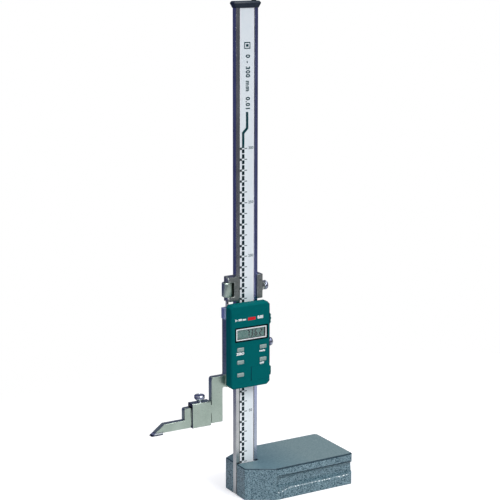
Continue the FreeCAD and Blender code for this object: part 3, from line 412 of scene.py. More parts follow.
# Painted shade: the ground top is darker and bluer towards the left end.
tinted(ground_top, TOP_PAINTED_SHADE, LEFT, *TOP_FADE)
form = joined_copy("base_casting")
base_half = (base_high.y - base_low.y) / 2
base_middle = (base_high.y + base_low.y) / 2
for bottom, top, radius, finish in GRIP_LIPS:
    lip = []
    for edge in sharp_edges(form):
        start, end = (vert.co for vert in edge.verts)
        outside = True
        for point in (start, end):
            taper = (point.x - base_low.x) * (base_half - NOSE_HALF) / NOSE_LENGTH
            half = min(base_half, NOSE_HALF + taper)
            outside = outside and abs(abs(point.y - base_middle) - half) < NEAR / 2
        if outside and bottom < (start.z + end.z) / 2 < top and not is_upright(edge):
            lip.append(edge)
    round_over(form, lip, radius, 1, finish=finish)
rim = [edge for edge in sharp_edges(form) if all(vert.co.z > base_top - NEAR for vert in edge.verts)]
round_over(form, rim, TOP_EDGE, 1, finish=DARK)
rim_foot = base_top - 1.1 * TOP_EDGE
rest = [
    edge for edge in sharp_edges(form)
    if edge.calc_length() > 2 * CAST_EDGE and min(vert.co.z for vert in edge.verts) < rim_foot
]
round_over(form, rest, CAST_EDGE)
form.normal_update()
for face in form.faces:
    height = face.calc_center_median().z
    if height > base_top - TOP_BAND and SLOPE < face.normal.z < LEVEL:
        face.material_index = DARK
    elif height > base_top - NEAR and face.normal.z > LEVEL:
        face.material_index = GROUND
dress(form, "base_casting", "base_block", "hammered_base", enamel, ground_top, edge_enamel, lip_highlight_enamel)

# Beam: a hardened steel bar, ground along its length, with a shallow recess for the scale. Two socket
# screws from behind pull it against its slot in the base.
BEAM_EDGE = 0.25 * MM
RAIL_PAINTED_SHADE_LOW = (0.84, 0.90, 1.1)
RAIL_PAINTED_SHADE_HIGH = (0.58, 0.63, 1.25)
PAINTED_SHADE_HEIGHTS = (60 * MM, 200 * MM)
PAINTED_SHADE_SPAN = (6 * MM, 9 * MM)
RIGHT = (1, 0, 0)
UP = (0, 0, 1)

# Grain is fine scratches along one axis, as grinding leaves them, with slow clouds over the whole piece
grain, given, wanted = new_group(
    "grain", {"Stretch": ("Vector", (2500, 2500, 60))}, {"Scratch": "Float", "Cloud": "Float"}
)
where = shader(grain, "TexCoord").outputs["Object"]
drawn = shader(grain, "VectorMath", (0, where), (1, given["Stretch"]), operation="MULTIPLY").outputs[0]
lines = shader(grain, "TexNoise", ("Vector", drawn), ("Scale", 1.0), ("Detail", 5.0), ("Roughness", 0.65))
grain.links.new(lines.outputs["Fac"], wanted["Scratch"])
cloud = shader(grain, "TexNoise", ("Vector", where), ("Scale", 60.0), ("Detail", 4.0))
grain.links.new(cloud.outputs["Fac"], wanted["Cloud"])


def metal(name, scale, dark, light, roughness, depth=0.00001, wear_and_light=None, reach=0.0004):
    """Bare or plated metal with a grain, cloudy in shade and roughness, and another colour at its edges,
    for wear and a painted edge highlight.
    """
    material, tree, body = finish_of(name, metallic=1.0)
    texture = placed(tree, grain, Stretch=scale)
    both = blended(tree, 0.5, texture["Scratch"], texture["Cloud"])
    colour = colour_ramp(tree, both, 0.38, dark, 0.62, light)
    if wear_and_light:
        colour = mixed(tree, placed(tree, edges, Reach=reach)["Wear and light"], colour, wear_and_light)
    tree.links.new(colour, body.inputs["Base Color"])
    rough = ranged(tree, texture["Scratch"], 0.3, 0.7, roughness - 0.07, roughness + 0.08)
    tree.links.new(rough, body.inputs["Roughness"])
    raised(tree, body, texture["Scratch"], depth)
    return material


def soften(node, name, radius, slot, material, steps=2):
    """A CAD node's own shape with its sharp edges rounded."""
    form = joined_copy(node)
    round_over(form, sharp_edges(form), radius, steps)
    return dress(form, node, name, slot, material)


def paint(material, *nodes):
    """Give CAD nodes that keep their shape a finish."""
    for node in nodes:
        part = frame["nodes"][node]
        part.data.materials.clear()
        part.data.materials.append(material)


beam_steel = metal("beam_steel", (3200, 3200, 24), (0.42, 0.44, 0.45), (0.60, 0.62, 0.61), 0.22)
# Painted shade with a painted blue reflection: the right rail is darker and bluer, more so higher up.
tree = beam_steel.node_tree
risen = placed(tree, stretch, Axis=UP, From=PAINTED_SHADE_HEIGHTS[0], To=PAINTED_SHADE_HEIGHTS[1])["Mask"]
tinted(beam_steel, mixed(tree, risen, RAIL_PAINTED_SHADE_LOW, RAIL_PAINTED_SHADE_HIGH), RIGHT, *PAINTED_SHADE_SPAN)
black_oxide = metal("black_oxide", (900, 900, 900), (0.02, 0.02, 0.022), (0.05, 0.05, 0.055), 0.42)
soften("beam", "beam_bar", BEAM_EDGE, "ground_steel", beam_steel)
paint(black_oxide, "beam_fixing_screws")

# Scale: a circuit strip for the sensor, bonded in the beam's recess, under a printed white film. The film's
# dark marks repeat each 10 mm, with a small grey number each 50 mm.
INK = 0.02 * MM
INK_CELL = 1.0 * MM
CAPITAL_SHARE = 0.70
SCALE_ZERO = 32.08 * MM
SCALE_STEP = 10 * MM
SCALE_STEPS = 30
NUMBER_STEP = 50
FILM_EDGE = 0.06 * MM
FILM_BORDER = (5.7 * MM, 6.1 * MM)
BAND = (-5.3 * MM, -2.65 * MM)
DASHES = ((0.8 * MM, 4.9 * MM), (5.8 * MM, 9.25 * MM))
BOLD_TICK = (-7.35 * MM, -5.3 * MM, 1.05 * MM)
FINE_TICK = (-2.65 * MM, 0.2 * MM, 0.42 * MM)
END_LINE = ((-4.0, 332.5), (-4.0, 346.2), (0.1, 350.4), (0.1, 365.0))
END_LINE_WIDTH = 2.5 * MM
NUMBER_HEIGHT = 2.5 * MM
NUMBER_PLACE = Vector((4.1, 0, 0.2)) * MM
RANGE_HEIGHT = 4.1 * MM
RANGE_PLACE = (0.6 * MM, 391.5 * MM)
MARK_PLACE = (Vector((-3.0, 421.4)) * MM, Vector((3.4, 427.4)) * MM)
MARK_LINE = 0.9 * MM

board_green = moulded("circuit_board", 1.5 * MM, (0.01, 0.06, 0.03), (0.02, 0.10, 0.05), 0.35, 0.00001)
paint(board_green, "scale_board")

film, tree, body = finish_of("printed_film", specular=0.3)
where = shader(tree, "TexCoord").outputs["Object"]
across = shader(tree, "SeparateXYZ", (0, where)).outputs["X"]
apart = shader(tree, "Math", (0, across), operation="ABSOLUTE").outputs[0]
border = ranged(tree, apart, *FILM_BORDER)
mottle = placed(tree, cells, Size=6 * MM)["Shade"]
field = colour_ramp(tree, mottle, 0.35, (0.87, 0.95, 0.98), 0.65, (0.91, 0.98, 1.0))
tree.links.new(mixed(tree, border, field, (0.93, 0.97, 1.0)), body.inputs["Base Color"])
tree.links.new(ranged(tree, mottle, 0.3, 0.7, 0.38, 0.5), body.inputs["Roughness"])
soften("scale_strip", "scale_film", FILM_EDGE, "scale_film", film)


def ink_of(name, dark, light, roughness=0.6):
    """Printed or sprayed ink with a faint mottle."""
    return moulded(name, INK_CELL, dark, light, roughness, 0.000002, specular=0.15)


teal_ink = ink_of("teal_ink", (0.000, 0.014, 0.020), (0.001, 0.022, 0.030))
word_ink = ink_of("word_ink", (0.000, 0.038, 0.050), (0.000, 0.058, 0.070))
grey_ink = ink_of("grey_ink", (0.08, 0.13, 0.15), (0.12, 0.18, 0.20))


def slab(form, low, high):
    """A thin closed block between two corners."""
    made = bmesh.ops.create_cube(form, size=1.0)
    middle = (Vector(low) + Vector(high)) / 2
    spread = Vector(high) - Vector(low)
    for vert in made["verts"]:
        vert.co = vert.co * spread + middle


def printed_bar(form, face, left, right, low, high):
    """A printed rectangle on a front face."""
    slab(form, (left, face - INK, low), (right, face, high))


def printed_line(form, face, points, width):
    """A printed line of one width through points (across, up) on a front face, with mitred bends."""
    points = [Vector(point) for point in points]
    ways = [(after - before).normalized() for before, after in zip(points, points[1:])]
    rows = []
    for point, into, onward in zip(points, ways[:1] + ways, ways + ways[-1:]):
        along = (into + onward).normalized()
        side = Vector((-along.y, along.x)) * width / 2 / along.dot(onward)
        edge = (point + side, point - side)
        rows.append([form.verts.new((at.x, depth, at.y)) for depth in (face, face - INK) for at in edge])
    for one, two in zip(rows, rows[1:]):
        for first, second in ((0, 1), (1, 3), (3, 2), (2, 0)):
            form.faces.new((one[first], one[second], two[second], two[first]))
    for row in (rows[0], rows[-1]):
        form.faces.new((row[0], row[1], row[3], row[2]))
    bmesh.ops.recalc_face_normals(form, faces=form.faces)


def lettering(name, face, lines, body, slot, material, weight=0.03, spacing=1.0, turn=0.0):
    """Printed words on a front face as one mesh; a line is (words, across, up, height of a capital)."""
    form = bmesh.new()
    for words, across, up, height in lines:
        curve = bpy.data.curves.new("words", "FONT")
        curve.body = words
        curve.size = height / CAPITAL_SHARE
        curve.offset = weight * height
        curve.space_character = spacing
        curve.align_x = "CENTER"
        curve.align_y = "CENTER"
        curve.extrude = INK / 2
        curve.resolution_u = 4
        carrier = bpy.data.objects.new("words", curve)
        scene.collection.objects.link(carrier)
        bpy.context.view_layer.update()
        drawn = carrier.evaluated_get(bpy.context.evaluated_depsgraph_get())
        shape = bpy.data.meshes.new_from_object(drawn)
        upright = Matrix.Rotation(math.radians(90), 4, "X") @ Matrix.Rotation(turn, 4, "Z")
        shape.transform(Matrix.Translation((across, face - INK / 2, up)) @ upright)
        form.from_mesh(shape)
        bpy.data.objects.remove(carrier)
        bpy.data.curves.remove(curve)
        bpy.data.meshes.remove(shape)
    return piece_of(form, name, body, slot, material)


film_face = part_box("scale_strip")[0].y
heights = [SCALE_ZERO + step * SCALE_STEP for step in range(SCALE_STEPS + 1)]
form = bmesh.new()
for height in heights:
    left, right, half = BOLD_TICK
    printed_bar(form, film_face, left, right, height - half, height + half)
    for start, stop in DASHES if height < heights[-1] else ():
        printed_bar(form, film_face, *BAND, height + start, height + stop)
piece_of(form, "scale_marks", "base", "scale_film", teal_ink)
form = bmesh.new()
printed_line(form, film_face, [(x * MM, z * MM) for x, z in END_LINE], END_LINE_WIDTH)
low, high = MARK_PLACE
for left, right, foot, head in (
    (low.x, low.x + MARK_LINE, low.y, high.y), (high.x - MARK_LINE, high.x, low.y, high.y),
    (low.x + MARK_LINE, high.x - MARK_LINE, low.y, low.y + MARK_LINE),
    (low.x + MARK_LINE, high.x - MARK_LINE, high.y - MARK_LINE, high.y),
    (low.x + 2 * MARK_LINE, high.x - 2 * MARK_LINE, low.y + 2 * MARK_LINE, high.y - 2 * MARK_LINE),
):
    printed_bar(form, film_face, left, right, foot, head)
piece_of(form, "end_line", "base", "scale_film", word_ink)
form = bmesh.new()
for height in heights:
    left, right, half = FINE_TICK
    printed_bar(form, film_face, left, right, height - half, height + half)
piece_of(form, "fine_marks", "base", "scale_film", grey_ink)
numbers = [
    (str(value), NUMBER_PLACE.x, SCALE_ZERO + value * MM + NUMBER_PLACE.z, NUMBER_HEIGHT)
    for value in range(NUMBER_STEP, round(SCALE_STEPS * SCALE_STEP / MM) + 1, NUMBER_STEP)
]
lettering("scale_numbers", film_face, numbers, "base", "scale_film", grey_ink)
words = [("0 - 300 mm  0.01", *RANGE_PLACE, RANGE_HEIGHT)]
lettering(
    "range_words", film_face, words, "base", "scale_film", word_ink, weight=0.06, spacing=1.2,
    turn=math.radians(-90),
)

# Cap: a bevelled black moulding that closes the beam's upper end. It sits over the end, and one small screw
# holds it.
CAP_EDGE = 0.3 * MM

# The cap's edges are painted darker and bluer.
cap_black = moulded(
    "cap_plastic", 0.8 * MM, (0.014, 0.022, 0.034), (0.030, 0.046, 0.068), 0.40, 0.00003,
    wear_and_light=(0.008, 0.009, 0.04), specular=0.4,
)
soften("top_cap", "beam_cap", CAP_EDGE, "black_plastic", cap_black)
paint(black_oxide, "cap_screw")

# Slider: a steel channel round the beam, milled in one piece with its arm and the stub for the clamp, in
# satin steel that is painted paler and bluer round the eye of the adjusting rod, a painted reflection. A
# bronze gib takes up the play, and a back plate closes the channel.
MILLED_EDGE = 0.4 * MM
ROD_EYE = (-17.5 * MM, 171 * MM)

# Its edges are painted paler: wear and a painted highlight.
satin_steel = metal(
    "satin_steel", (700, 700, 700), (0.373, 0.464, 0.396), (0.482, 0.582, 0.505), 0.31, depth=0.000004,
    wear_and_light=(0.72, 0.76, 0.74),
)
bronze = metal("bronze", (1500, 1500, 60), (0.34, 0.20, 0.09), (0.48, 0.30, 0.14), 0.38)
plated = metal("zinc_plate", (900, 900, 900), (0.50, 0.50, 0.52), (0.66, 0.66, 0.68), 0.28)
# Paler, bluer steel round the rod's eye: a painted reflection.
eye_painted_reflection = metal(
    "eye_painted_reflection", (1500, 1500, 1500), (0.42, 0.50, 0.72), (0.60, 0.68, 0.90), 0.55, depth=0.000006
)
form = joined_copy("slider_frame")
round_over(form, sharp_edges(form), MILLED_EDGE)
for face in form.faces:
    middle = face.calc_center_median()
    if middle.x < ROD_EYE[0] and middle.z > ROD_EYE[1]:
        face.material_index = 1
dress(form, "slider_frame", "slider_channel", "satin_steel", satin_steel, eye_painted_reflection)
soften("slider_back_plate", "back_plate", MILLED_EDGE, "satin_steel", satin_steel)
paint(bronze, "gib_strip")
paint(black_oxide, "gib_screws")
paint(plated, "back_plate_screws", "cover_screws")

# Electronics inside the housing: the reader over the scale, the main board, the rubber key mat, the coin
# cell with its contact springs, and the data socket
black_rubber = moulded("black_rubber", 0.5 * MM, (0.012, 0.012, 0.013), (0.028, 0.028, 0.03), 0.62, 0.00002)
nickel = metal("nickel", (1200, 1200, 1200), (0.55, 0.53, 0.48), (0.70, 0.68, 0.63), 0.25)
black_plastic = moulded(
    "black_plastic", 0.6 * MM, (0.001, 0.002, 0.004), (0.002, 0.004, 0.008), 0.45, 0.00001, specular=0.04
)
paint(board_green, "reader_plate", "circuit_board")
paint(black_rubber, "key_mat", "contact_strips")
paint(nickel, "battery", "battery_contacts")
paint(black_plastic, "data_connector")

# Housing: a teal moulding with a fine spark texture and a rounded front. White words are printed beside its
# keys, and a red stripe between the range and the step above the display.
HOUSING_EDGE = 0.5 * MM
HOUSING_BAND = 1.4 * MM
RIM_PAINTED_SHADE = (0.6, 0.6, 0.85)
RIM_FADE = (1.3 * MM, 0.8 * MM)
RIM_TILT = 0.05
STRIPE = (-5.3 * MM, 2.9 * MM, 173.9 * MM, 176.6 * MM)
LABELS = (
    ("ZERO", -13.4, 142.9, 2.2),
    ("mm/in", 10.2, 143.1, 1.7),
    ("OFF", 9.8, 131.0, 1.8),
    ("0 - 300 mm", -13.0, 175.3, 1.7),
    ("0.01", 8.2, 175.6, 2.6),
)

teal = moulded(
    "teal_plastic", 0.45 * MM, (0.0, 0.106, 0.110), (0.0, 0.155, 0.162), 0.58, 0.00003, specular=0.03
)
# A darker, bluer teal painted on the rounded right front edge and the hatch's seam as shade, darker still
# at the housing's right side.
teal_painted_shade = moulded(
    "teal_painted_shade", 0.9 * MM, (0.0, 0.035, 0.060), (0.0, 0.055, 0.085), 0.5, 0.00002, specular=0.1
)
housing_low, housing_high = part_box("display_housing")
tinted(teal_painted_shade, RIM_PAINTED_SHADE, RIGHT, *(housing_high.x - inset for inset in RIM_FADE))
form = joined_copy("display_housing")
outline = []
for edge in sharp_edges(form):
    middle = (edge.verts[0].co + edge.verts[1].co) / 2
    sideways = min(middle.x - housing_low.x, housing_high.x - middle.x)
    upwards = min(middle.z - housing_low.z, housing_high.z - middle.z)
    front = middle.y < housing_low.y + HOUSING_BAND
    by_openings = all(vert.co.x > housing_high.x - NEAR for vert in edge.verts)
    if front and min(sideways, upwards) < HOUSING_BAND and not by_openings:
        outline.append(edge)
round_over(form, outline, HOUSING_EDGE)
form.normal_update()
for face in form.faces:
    front = face.calc_center_median().y < housing_low.y + HOUSING_BAND
    if front and -LEVEL < face.normal.y < -RIM_TILT and face.normal.x > SLOPE:
        face.material_index = 1
dress(form, "display_housing", "housing_shell", "teal_plastic", teal, teal_painted_shade)
white_ink = ink_of("white_ink", (0.90, 0.94, 0.94), (0.97, 1.0, 1.0))
red_ink = ink_of("red_ink", (0.62, 0.012, 0.02), (0.74, 0.02, 0.03))
housing_face = housing_low.y
labels = [(words, across * MM, up * MM, height * MM) for words, across, up, height in LABELS]
lettering("housing_labels", housing_face, labels, "slider", "teal_plastic", white_ink, weight=0.10)
form = bmesh.new()
printed_bar(form, housing_face, *STRIPE)
piece_of(form, "red_stripe", "slider", "teal_plastic", red_ink)

# Display: a black bezel pressed into the housing round a clear window with a white printed border, over a
# grey-green liquid-crystal panel. Its seven-bar digits read the scriber's height.
BARS = {"3": "abcdg", "2": "abdeg", "6": "acdefg", "7": "abc"}
READING = (("7", -4.5 * MM), ("3", -0.6 * MM), ("6", 4.0 * MM), ("2", 9.0 * MM))
DIGIT_WIDTH = 3.4 * MM
DIGIT_HEIGHT = 7.0 * MM
DIGIT_BAR = 1.3 * MM
DIGIT_GAP = 0.05 * MM
DIGIT_LEAN = 0.08
DIGIT_FOOT = 157.6 * MM
POINT = (1.5 * MM, 2.2 * MM)
BEZEL_EDGE = 0.25 * MM
BEZEL_RIM = 1.1 * MM
BEZEL_CORNER = 0.9 * MM
LEAST_CORNER = 0.1 * MM
CORNER_STEPS = 4
WINDOW_SHADOW = 0.3 * MM
WINDOW_BORDER = 1.0 * MM
PANEL_SHADOW_EDGE = (2.4 * MM, 1.5 * MM)


def frame_rings(form, low, high, rows, corner):
    """A frame swept round a box; each row (inset, depth) joins the next, and the last joins the first."""
    rings = []
    for inset, depth in rows:
        radius = max(corner - inset, LEAST_CORNER)
        ring = []
        for quarter in range(4):
            across = high.x - inset - radius if quarter in (0, 3) else low.x + inset + radius
            up = high.z - inset - radius if quarter in (0, 1) else low.z + inset + radius
            for step in range(CORNER_STEPS + 1):
                angle = math.radians(90 * (quarter + step / CORNER_STEPS))
                point = (across + radius * math.cos(angle), depth, up + radius * math.sin(angle))
                ring.append(form.verts.new(point))
        rings.append(ring)
    for one, two in zip(rings, rings[1:] + rings[:1]):
        for first, second, third, fourth in zip(one, one[1:] + one[:1], two[1:] + two[:1], two):
            form.faces.new((first, second, third, fourth))
    bmesh.ops.recalc_face_normals(form, faces=form.faces)


bezel_low, bezel_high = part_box("display_bezel")
rows = [
    (0.0, bezel_high.y),
    (0.0, bezel_low.y + BEZEL_EDGE),
    (0.3 * BEZEL_EDGE, bezel_low.y + 0.3 * BEZEL_EDGE),
    (BEZEL_EDGE, bezel_low.y),
    (BEZEL_RIM - BEZEL_EDGE, bezel_low.y),
    (BEZEL_RIM, bezel_low.y + BEZEL_EDGE),
    (BEZEL_RIM, bezel_high.y),
]
form = bmesh.new()
frame_rings(form, bezel_low, bezel_high, rows, BEZEL_CORNER)
dress(form, "display_bezel", "window_bezel", "black_plastic", black_plastic)
glass, tree, body = finish_of("clear_window", specular=0.3, alpha=0.05, roughness=0.08)
smear = placed(tree, cells, Size=3 * MM)["Shade"]
haze = colour_ramp(tree, smear, 0.3, (0.80, 0.86, 0.86), 0.7, (0.95, 0.98, 0.98))
tree.links.new(haze, body.inputs["Base Color"])
paint(glass, "display_window")
liquid_crystal = moulded(
    "liquid_crystal", 2.0 * MM, (0.085, 0.215, 0.185), (0.11, 0.245, 0.215), 0.5, 0.000002, specular=0.1
)
paint(liquid_crystal, "lcd_panel")
# Black ink for the digits, also used for the painted shadows round the window and the panel.
digit_ink_and_shadow = ink_of("digit_ink_and_shadow", (0.004, 0.010, 0.012), (0.010, 0.020, 0.022))


def digit_bar(form, face, start, stop):
    """One bar of a digit, pointed at both ends, between two points (across, up) on a front face."""
    along = (stop - start).normalized()
    side = Vector((-along.y, along.x)) * DIGIT_BAR / 2
    start, stop = start + along * DIGIT_GAP, stop - along * DIGIT_GAP
    inset = along * DIGIT_BAR / 2
    outline = [
        start, start + inset + side, stop - inset + side, stop, stop - inset - side, start + inset - side
    ]
    rings = []
    for depth in (face, face - INK):
        lean = [point.x + (point.y - DIGIT_FOOT) * DIGIT_LEAN for point in outline]
        rings.append([form.verts.new((across, depth, point.y)) for across, point in zip(lean, outline)])
    form.faces.new(rings[0])
    form.faces.new(reversed(rings[1]))
    pairs = list(zip(*rings))
    for one, two in zip(pairs, pairs[1:] + pairs[:1]):
        form.faces.new((one[0], two[0], two[1], one[1]))
    bmesh.ops.recalc_face_normals(form, faces=form.faces)


panel_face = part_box("lcd_panel")[0].y
low, high = DIGIT_FOOT + DIGIT_BAR / 2, DIGIT_FOOT + DIGIT_HEIGHT - DIGIT_BAR / 2
waist = (low + high) / 2
form = bmesh.new()
for sign, centre in READING:
    left = centre - (DIGIT_WIDTH - DIGIT_BAR) / 2
    right = centre + (DIGIT_WIDTH - DIGIT_BAR) / 2
    upper = (left, high), (right, high)
    inner = (left, waist), (right, waist)
    lower = (left, low), (right, low)
    ends = {
        "a": upper, "b": (upper[1], inner[1]), "c": (inner[1], lower[1]), "d": lower,
        "e": (inner[0], lower[0]), "f": (upper[0], inner[0]), "g": inner,
    }
    for letter in BARS[sign]:
        digit_bar(form, panel_face, *(Vector(point) for point in ends[letter]))
printed_bar(form, panel_face, *POINT, DIGIT_FOOT, DIGIT_FOOT + POINT[1] - POINT[0])
piece_of(form, "display_digits", "slider", "lcd_glass", digit_ink_and_shadow)


def printed_frame(form, face, low, high, across, up):
    """A printed frame of two widths inside a box on a front face."""
    printed_bar(form, face, low.x, high.x, high.z - up, high.z)
    printed_bar(form, face, low.x, high.x, low.z, low.z + up)
    printed_bar(form, face, low.x, low.x + across, low.z + up, high.z - up)
    printed_bar(form, face, high.x - across, high.x, low.z + up, high.z - up)


form = bmesh.new()
low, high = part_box("display_window")
inset = Vector((WINDOW_SHADOW, 0, WINDOW_SHADOW))
printed_frame(form, low.y, low + inset, high - inset, WINDOW_BORDER, WINDOW_BORDER)
piece_of(form, "window_border", "slider", "clear_window", white_ink)
# A thin dark line painted round the window's inner edge is the bezel's painted shadow.
form = bmesh.new()
printed_frame(form, low.y, low, high, WINDOW_SHADOW, WINDOW_SHADOW)
piece_of(form, "window_shadow", "slider", "clear_window", digit_ink_and_shadow)
# A dark frame painted round the panel's edge is the window frame's painted shadow on it.
form = bmesh.new()
printed_frame(form, panel_face, low, high, *PANEL_SHADOW_EDGE)
piece_of(form, "panel_shadow", "slider", "lcd_glass", digit_ink_and_shadow)

# Keys: five light grey plastic caps with rounded edges. They rest on the rubber mat inside the housing,
# which lifts them again.
KEY_EDGE = 0.4 * MM

# The caps' edges are painted paler: wear and a painted highlight.
key_grey = moulded(
    "key_grey", 0.5 * MM, (0.22, 0.32, 0.30), (0.34, 0.45, 0.42), 0.45, 0.00001,
    wear_and_light=(0.52, 0.62, 0.62), reach=0.0003, specular=0.3,
)
for node in ("zero_key", "unit_key", "hold_key", "power_key", "preset_key"):
    soften(node, node + "_cap", KEY_EDGE, "key_grey", key_grey, steps=3)

# Covers: the battery's sliding cover and the cover of the data socket, both in the housing's plastic. The
# socket's cover is a low bulge with two shallow grooves for the finger.
COVER_EDGE = 0.15 * MM
COVER_CREASE = 35.0
RIB_TOPS = 0.3 * MM
RIB_GROOVES = 0.8 * MM
RIB_REACH = 1.1 * MM
COVER_ENDS = 1.4 * MM
SEAM_EDGE = 0.7 * MM

form = joined_copy("battery_cover")
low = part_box("battery_cover")[0]
# The hatch's outer front edge is rounded in the darker teal, a painted shade for the gap beside it.
seam = [
    edge for edge in sharp_edges(form)
    if all(vert.co.x < low.x + NEAR and vert.co.y < low.y + NEAR for vert in edge.verts)
]
round_over(form, seam, SEAM_EDGE, 1, finish=1)
dress(form, "battery_cover", "battery_hatch", "teal_plastic", teal, teal_painted_shade)
form = joined_copy("port_cover")
low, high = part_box("port_cover")
for vert in form.verts:
    if vert.co.x > high.x - NEAR:
        at_end = min(vert.co.z - low.z, high.z - vert.co.z) < NEAR
        vert.co.x = high.x - (COVER_ENDS if at_end else RIB_TOPS)
    elif vert.co.x > high.x - RIB_REACH:
        vert.co.x = high.x - RIB_GROOVES
form.normal_update()
round_over(form, sharp_edges(form, COVER_CREASE), COVER_EDGE)
dress(form, "port_cover", "socket_cover", "teal_plastic", teal)

# Locks: a screw with a diamond-knurled head presses a bronze pad on the beam's edge, one for the slider and
# one for the carriage. They are turned from bar and chrome plated.
KNURL_STEPS = 4
KNURL_DEPTH = 0.22 * MM
M4_PITCH = 0.7 * MM
M4_DEPTH = 0.35 * MM
M4_RADIUS = 2.0 * MM
CHAMFER = 0.3 * MM
RELIEF = 0.4 * MM
DISH_RIM = 0.9 * MM
DISH_DEPTH = 0.5 * MM
LOCK_SCREWS = (
    ("slider_lock_screw", (3.15 * MM, 1.6 * MM), 3.2 * MM, (3.57 * MM, 1.6 * MM)),
    ("carriage_lock_screw", (3.3 * MM, 0.95 * MM), 1.9 * MM, (3.74 * MM, 0.95 * MM)),
)

# Its edges are painted paler: wear and a painted highlight.
chrome = metal(
    "satin_chrome", (900, 900, 900), (0.44, 0.48, 0.55), (0.64, 0.68, 0.74), 0.2, depth=0.000003,
    wear_and_light=(0.85, 0.88, 0.9), reach=0.0002,
)
# A darker, bluer copy of the chrome for the knurled faces: painted shade.
knurl_shade_steel = metal(
    "knurled_flank_painted_shade", (900, 900, 900), (0.14, 0.16, 0.26), (0.34, 0.37, 0.46), 0.2, depth=0.000003
)


def zigzag(turns):
    """A triangle wave between 0 and 1."""
    return abs(turns % 1 * 2 - 1)


def turned(
    node, name, centre, axis, rows, *materials, slot="knurled_chrome", teeth=24, pitch=0.0, bore=0.0,
    crease=35.0,
):
    """A lathe-turned form round an axis that stands for a node. A row is (along, radius, cut): the place on
    the axis, the radius there, and what is cut into the next stretch, which is plain, straight, diamond or
    thread. A second material, painted darker and bluer as shade, is for the diamond knurling."""
    steps = teeth * KNURL_STEPS
    stops = []
    for (along, radius, cut), (until, wide, _) in zip(rows, rows[1:]):
        parts = 1
        if cut == "diamond":
            parts = max(2, round((until - along) / (2 * math.pi * radius / steps)))
        elif cut == "thread":
            parts = max(4, round((until - along) / pitch * 4))
        for part in range(parts):
            share = part / parts
            stops.append((along + (until - along) * share, radius + (wide - radius) * share, cut))
    stops.append(rows[-1])
    if bore:
        stops += [(rows[-1][0], bore, "plain"), (rows[0][0], bore, "plain")]
    form = bmesh.new()
    rings = []
    for along, radius, cut in stops:
        ring = []
        for step in range(steps):
            turn = step / steps
            climb = along / (2 * math.pi * radius) * teeth
            if cut == "straight":
                dip = KNURL_DEPTH * zigzag(turn * teeth)
            elif cut == "diamond":
                dip = KNURL_DEPTH * max(zigzag(turn * teeth + climb), zigzag(turn * teeth - climb))
            elif cut == "thread":
                dip = M4_DEPTH * pitch / M4_PITCH * zigzag(along / pitch - turn)
            else:
                dip = 0.0
            angle = 2 * math.pi * turn
            reach = radius - dip
            ring.append(form.verts.new((reach * math.cos(angle), reach * math.sin(angle), along)))
        rings.append(ring)
    for one, two in zip(rings, rings[1:] + rings[:1] if bore else rings[1:]):
        for step in range(steps):
            after = (step + 1) % steps
            form.faces.new((one[step], one[after], two[after], two[step]))
    if len(materials) > 1:
        cuts = [cut for _, _, cut in stops for _ in range(steps)]
        for face, cut in zip(form.faces, cuts):
            face.material_index = 1 if cut == "diamond" else 0
    if not bore:
        form.faces.new(reversed(rings[0]))
        form.faces.new(rings[-1])
    form.transform(Matrix.Translation(centre) @ Vector(axis).to_track_quat("Z", "Y").to_matrix().to_4x4())
    return dress(form, node, name, slot, *materials, crease=crease)


def screw_rows(length, radius, neck, flank, crown):
    """The rows of an M4 thumb screw: its thread, a cone up to the knurled flank, and a dished crown. The
    neck at the cone's foot and the crown are each (radius, length)."""
    head = length - (neck[1] + flank + crown[1])
    return [
        (0.0, M4_RADIUS - CHAMFER, "plain"),
        (CHAMFER, M4_RADIUS, "thread"),
        (head - RELIEF, M4_RADIUS, "plain"),
        (head, M4_RADIUS, "plain"),
        (head, neck[0], "plain"),
        (head + neck[1], radius, "diamond"),
        (head + neck[1] + flank, radius, "plain"),
        (length, crown[0], "plain"),
        (length - DISH_DEPTH, crown[0] - DISH_RIM, "plain"),
    ]


paint(bronze, "slider_lock_pad", "carriage_lock_pad")
for node, neck, flank, crown in LOCK_SCREWS:
    low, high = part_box(node)
    rows = screw_rows(high.x - low.x, (high.z - low.z) / 2, neck, flank, crown)
    centre = (low.x, 0, (low.z + high.z) / 2)
    turned(node, node + "_turned", centre, RIGHT, rows, chrome, knurl_shade_steel, pitch=M4_PITCH)

# Fine adjustment: a fixed threaded rod, a knurled nut on it in the carriage's pocket, and the milled steel
# carriage, which the nut moves along the rod. The carriage's steel is a darker copy of the satin steel:
# painted shade.
M3_PITCH = 0.5 * MM
ROD_PLAIN = 9.0 * MM
NUT_RADIUS = 4.9 * MM
NUT_CHAMFER = 0.6 * MM
NUT_BORE = 1.56 * MM

rod_low, rod_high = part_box("fine_adjust_rod")
rod_axis = (rod_low + rod_high) / 2
rod_radius = (rod_high.y - rod_low.y) / 2
rod_length = rod_high.z - rod_low.z
rows = [
    (0.0, rod_radius, "plain"),
    (ROD_PLAIN, rod_radius, "thread"),
    (rod_length - CHAMFER, rod_radius, "plain"),
    (rod_length, rod_radius - CHAMFER, "plain"),
]
turned(
    "fine_adjust_rod", "adjusting_rod", (rod_axis.x, 0, rod_low.z), UP, rows, plated, slot="satin_steel",
    teeth=6, pitch=M3_PITCH,
)
paint(plated, "rod_pin")
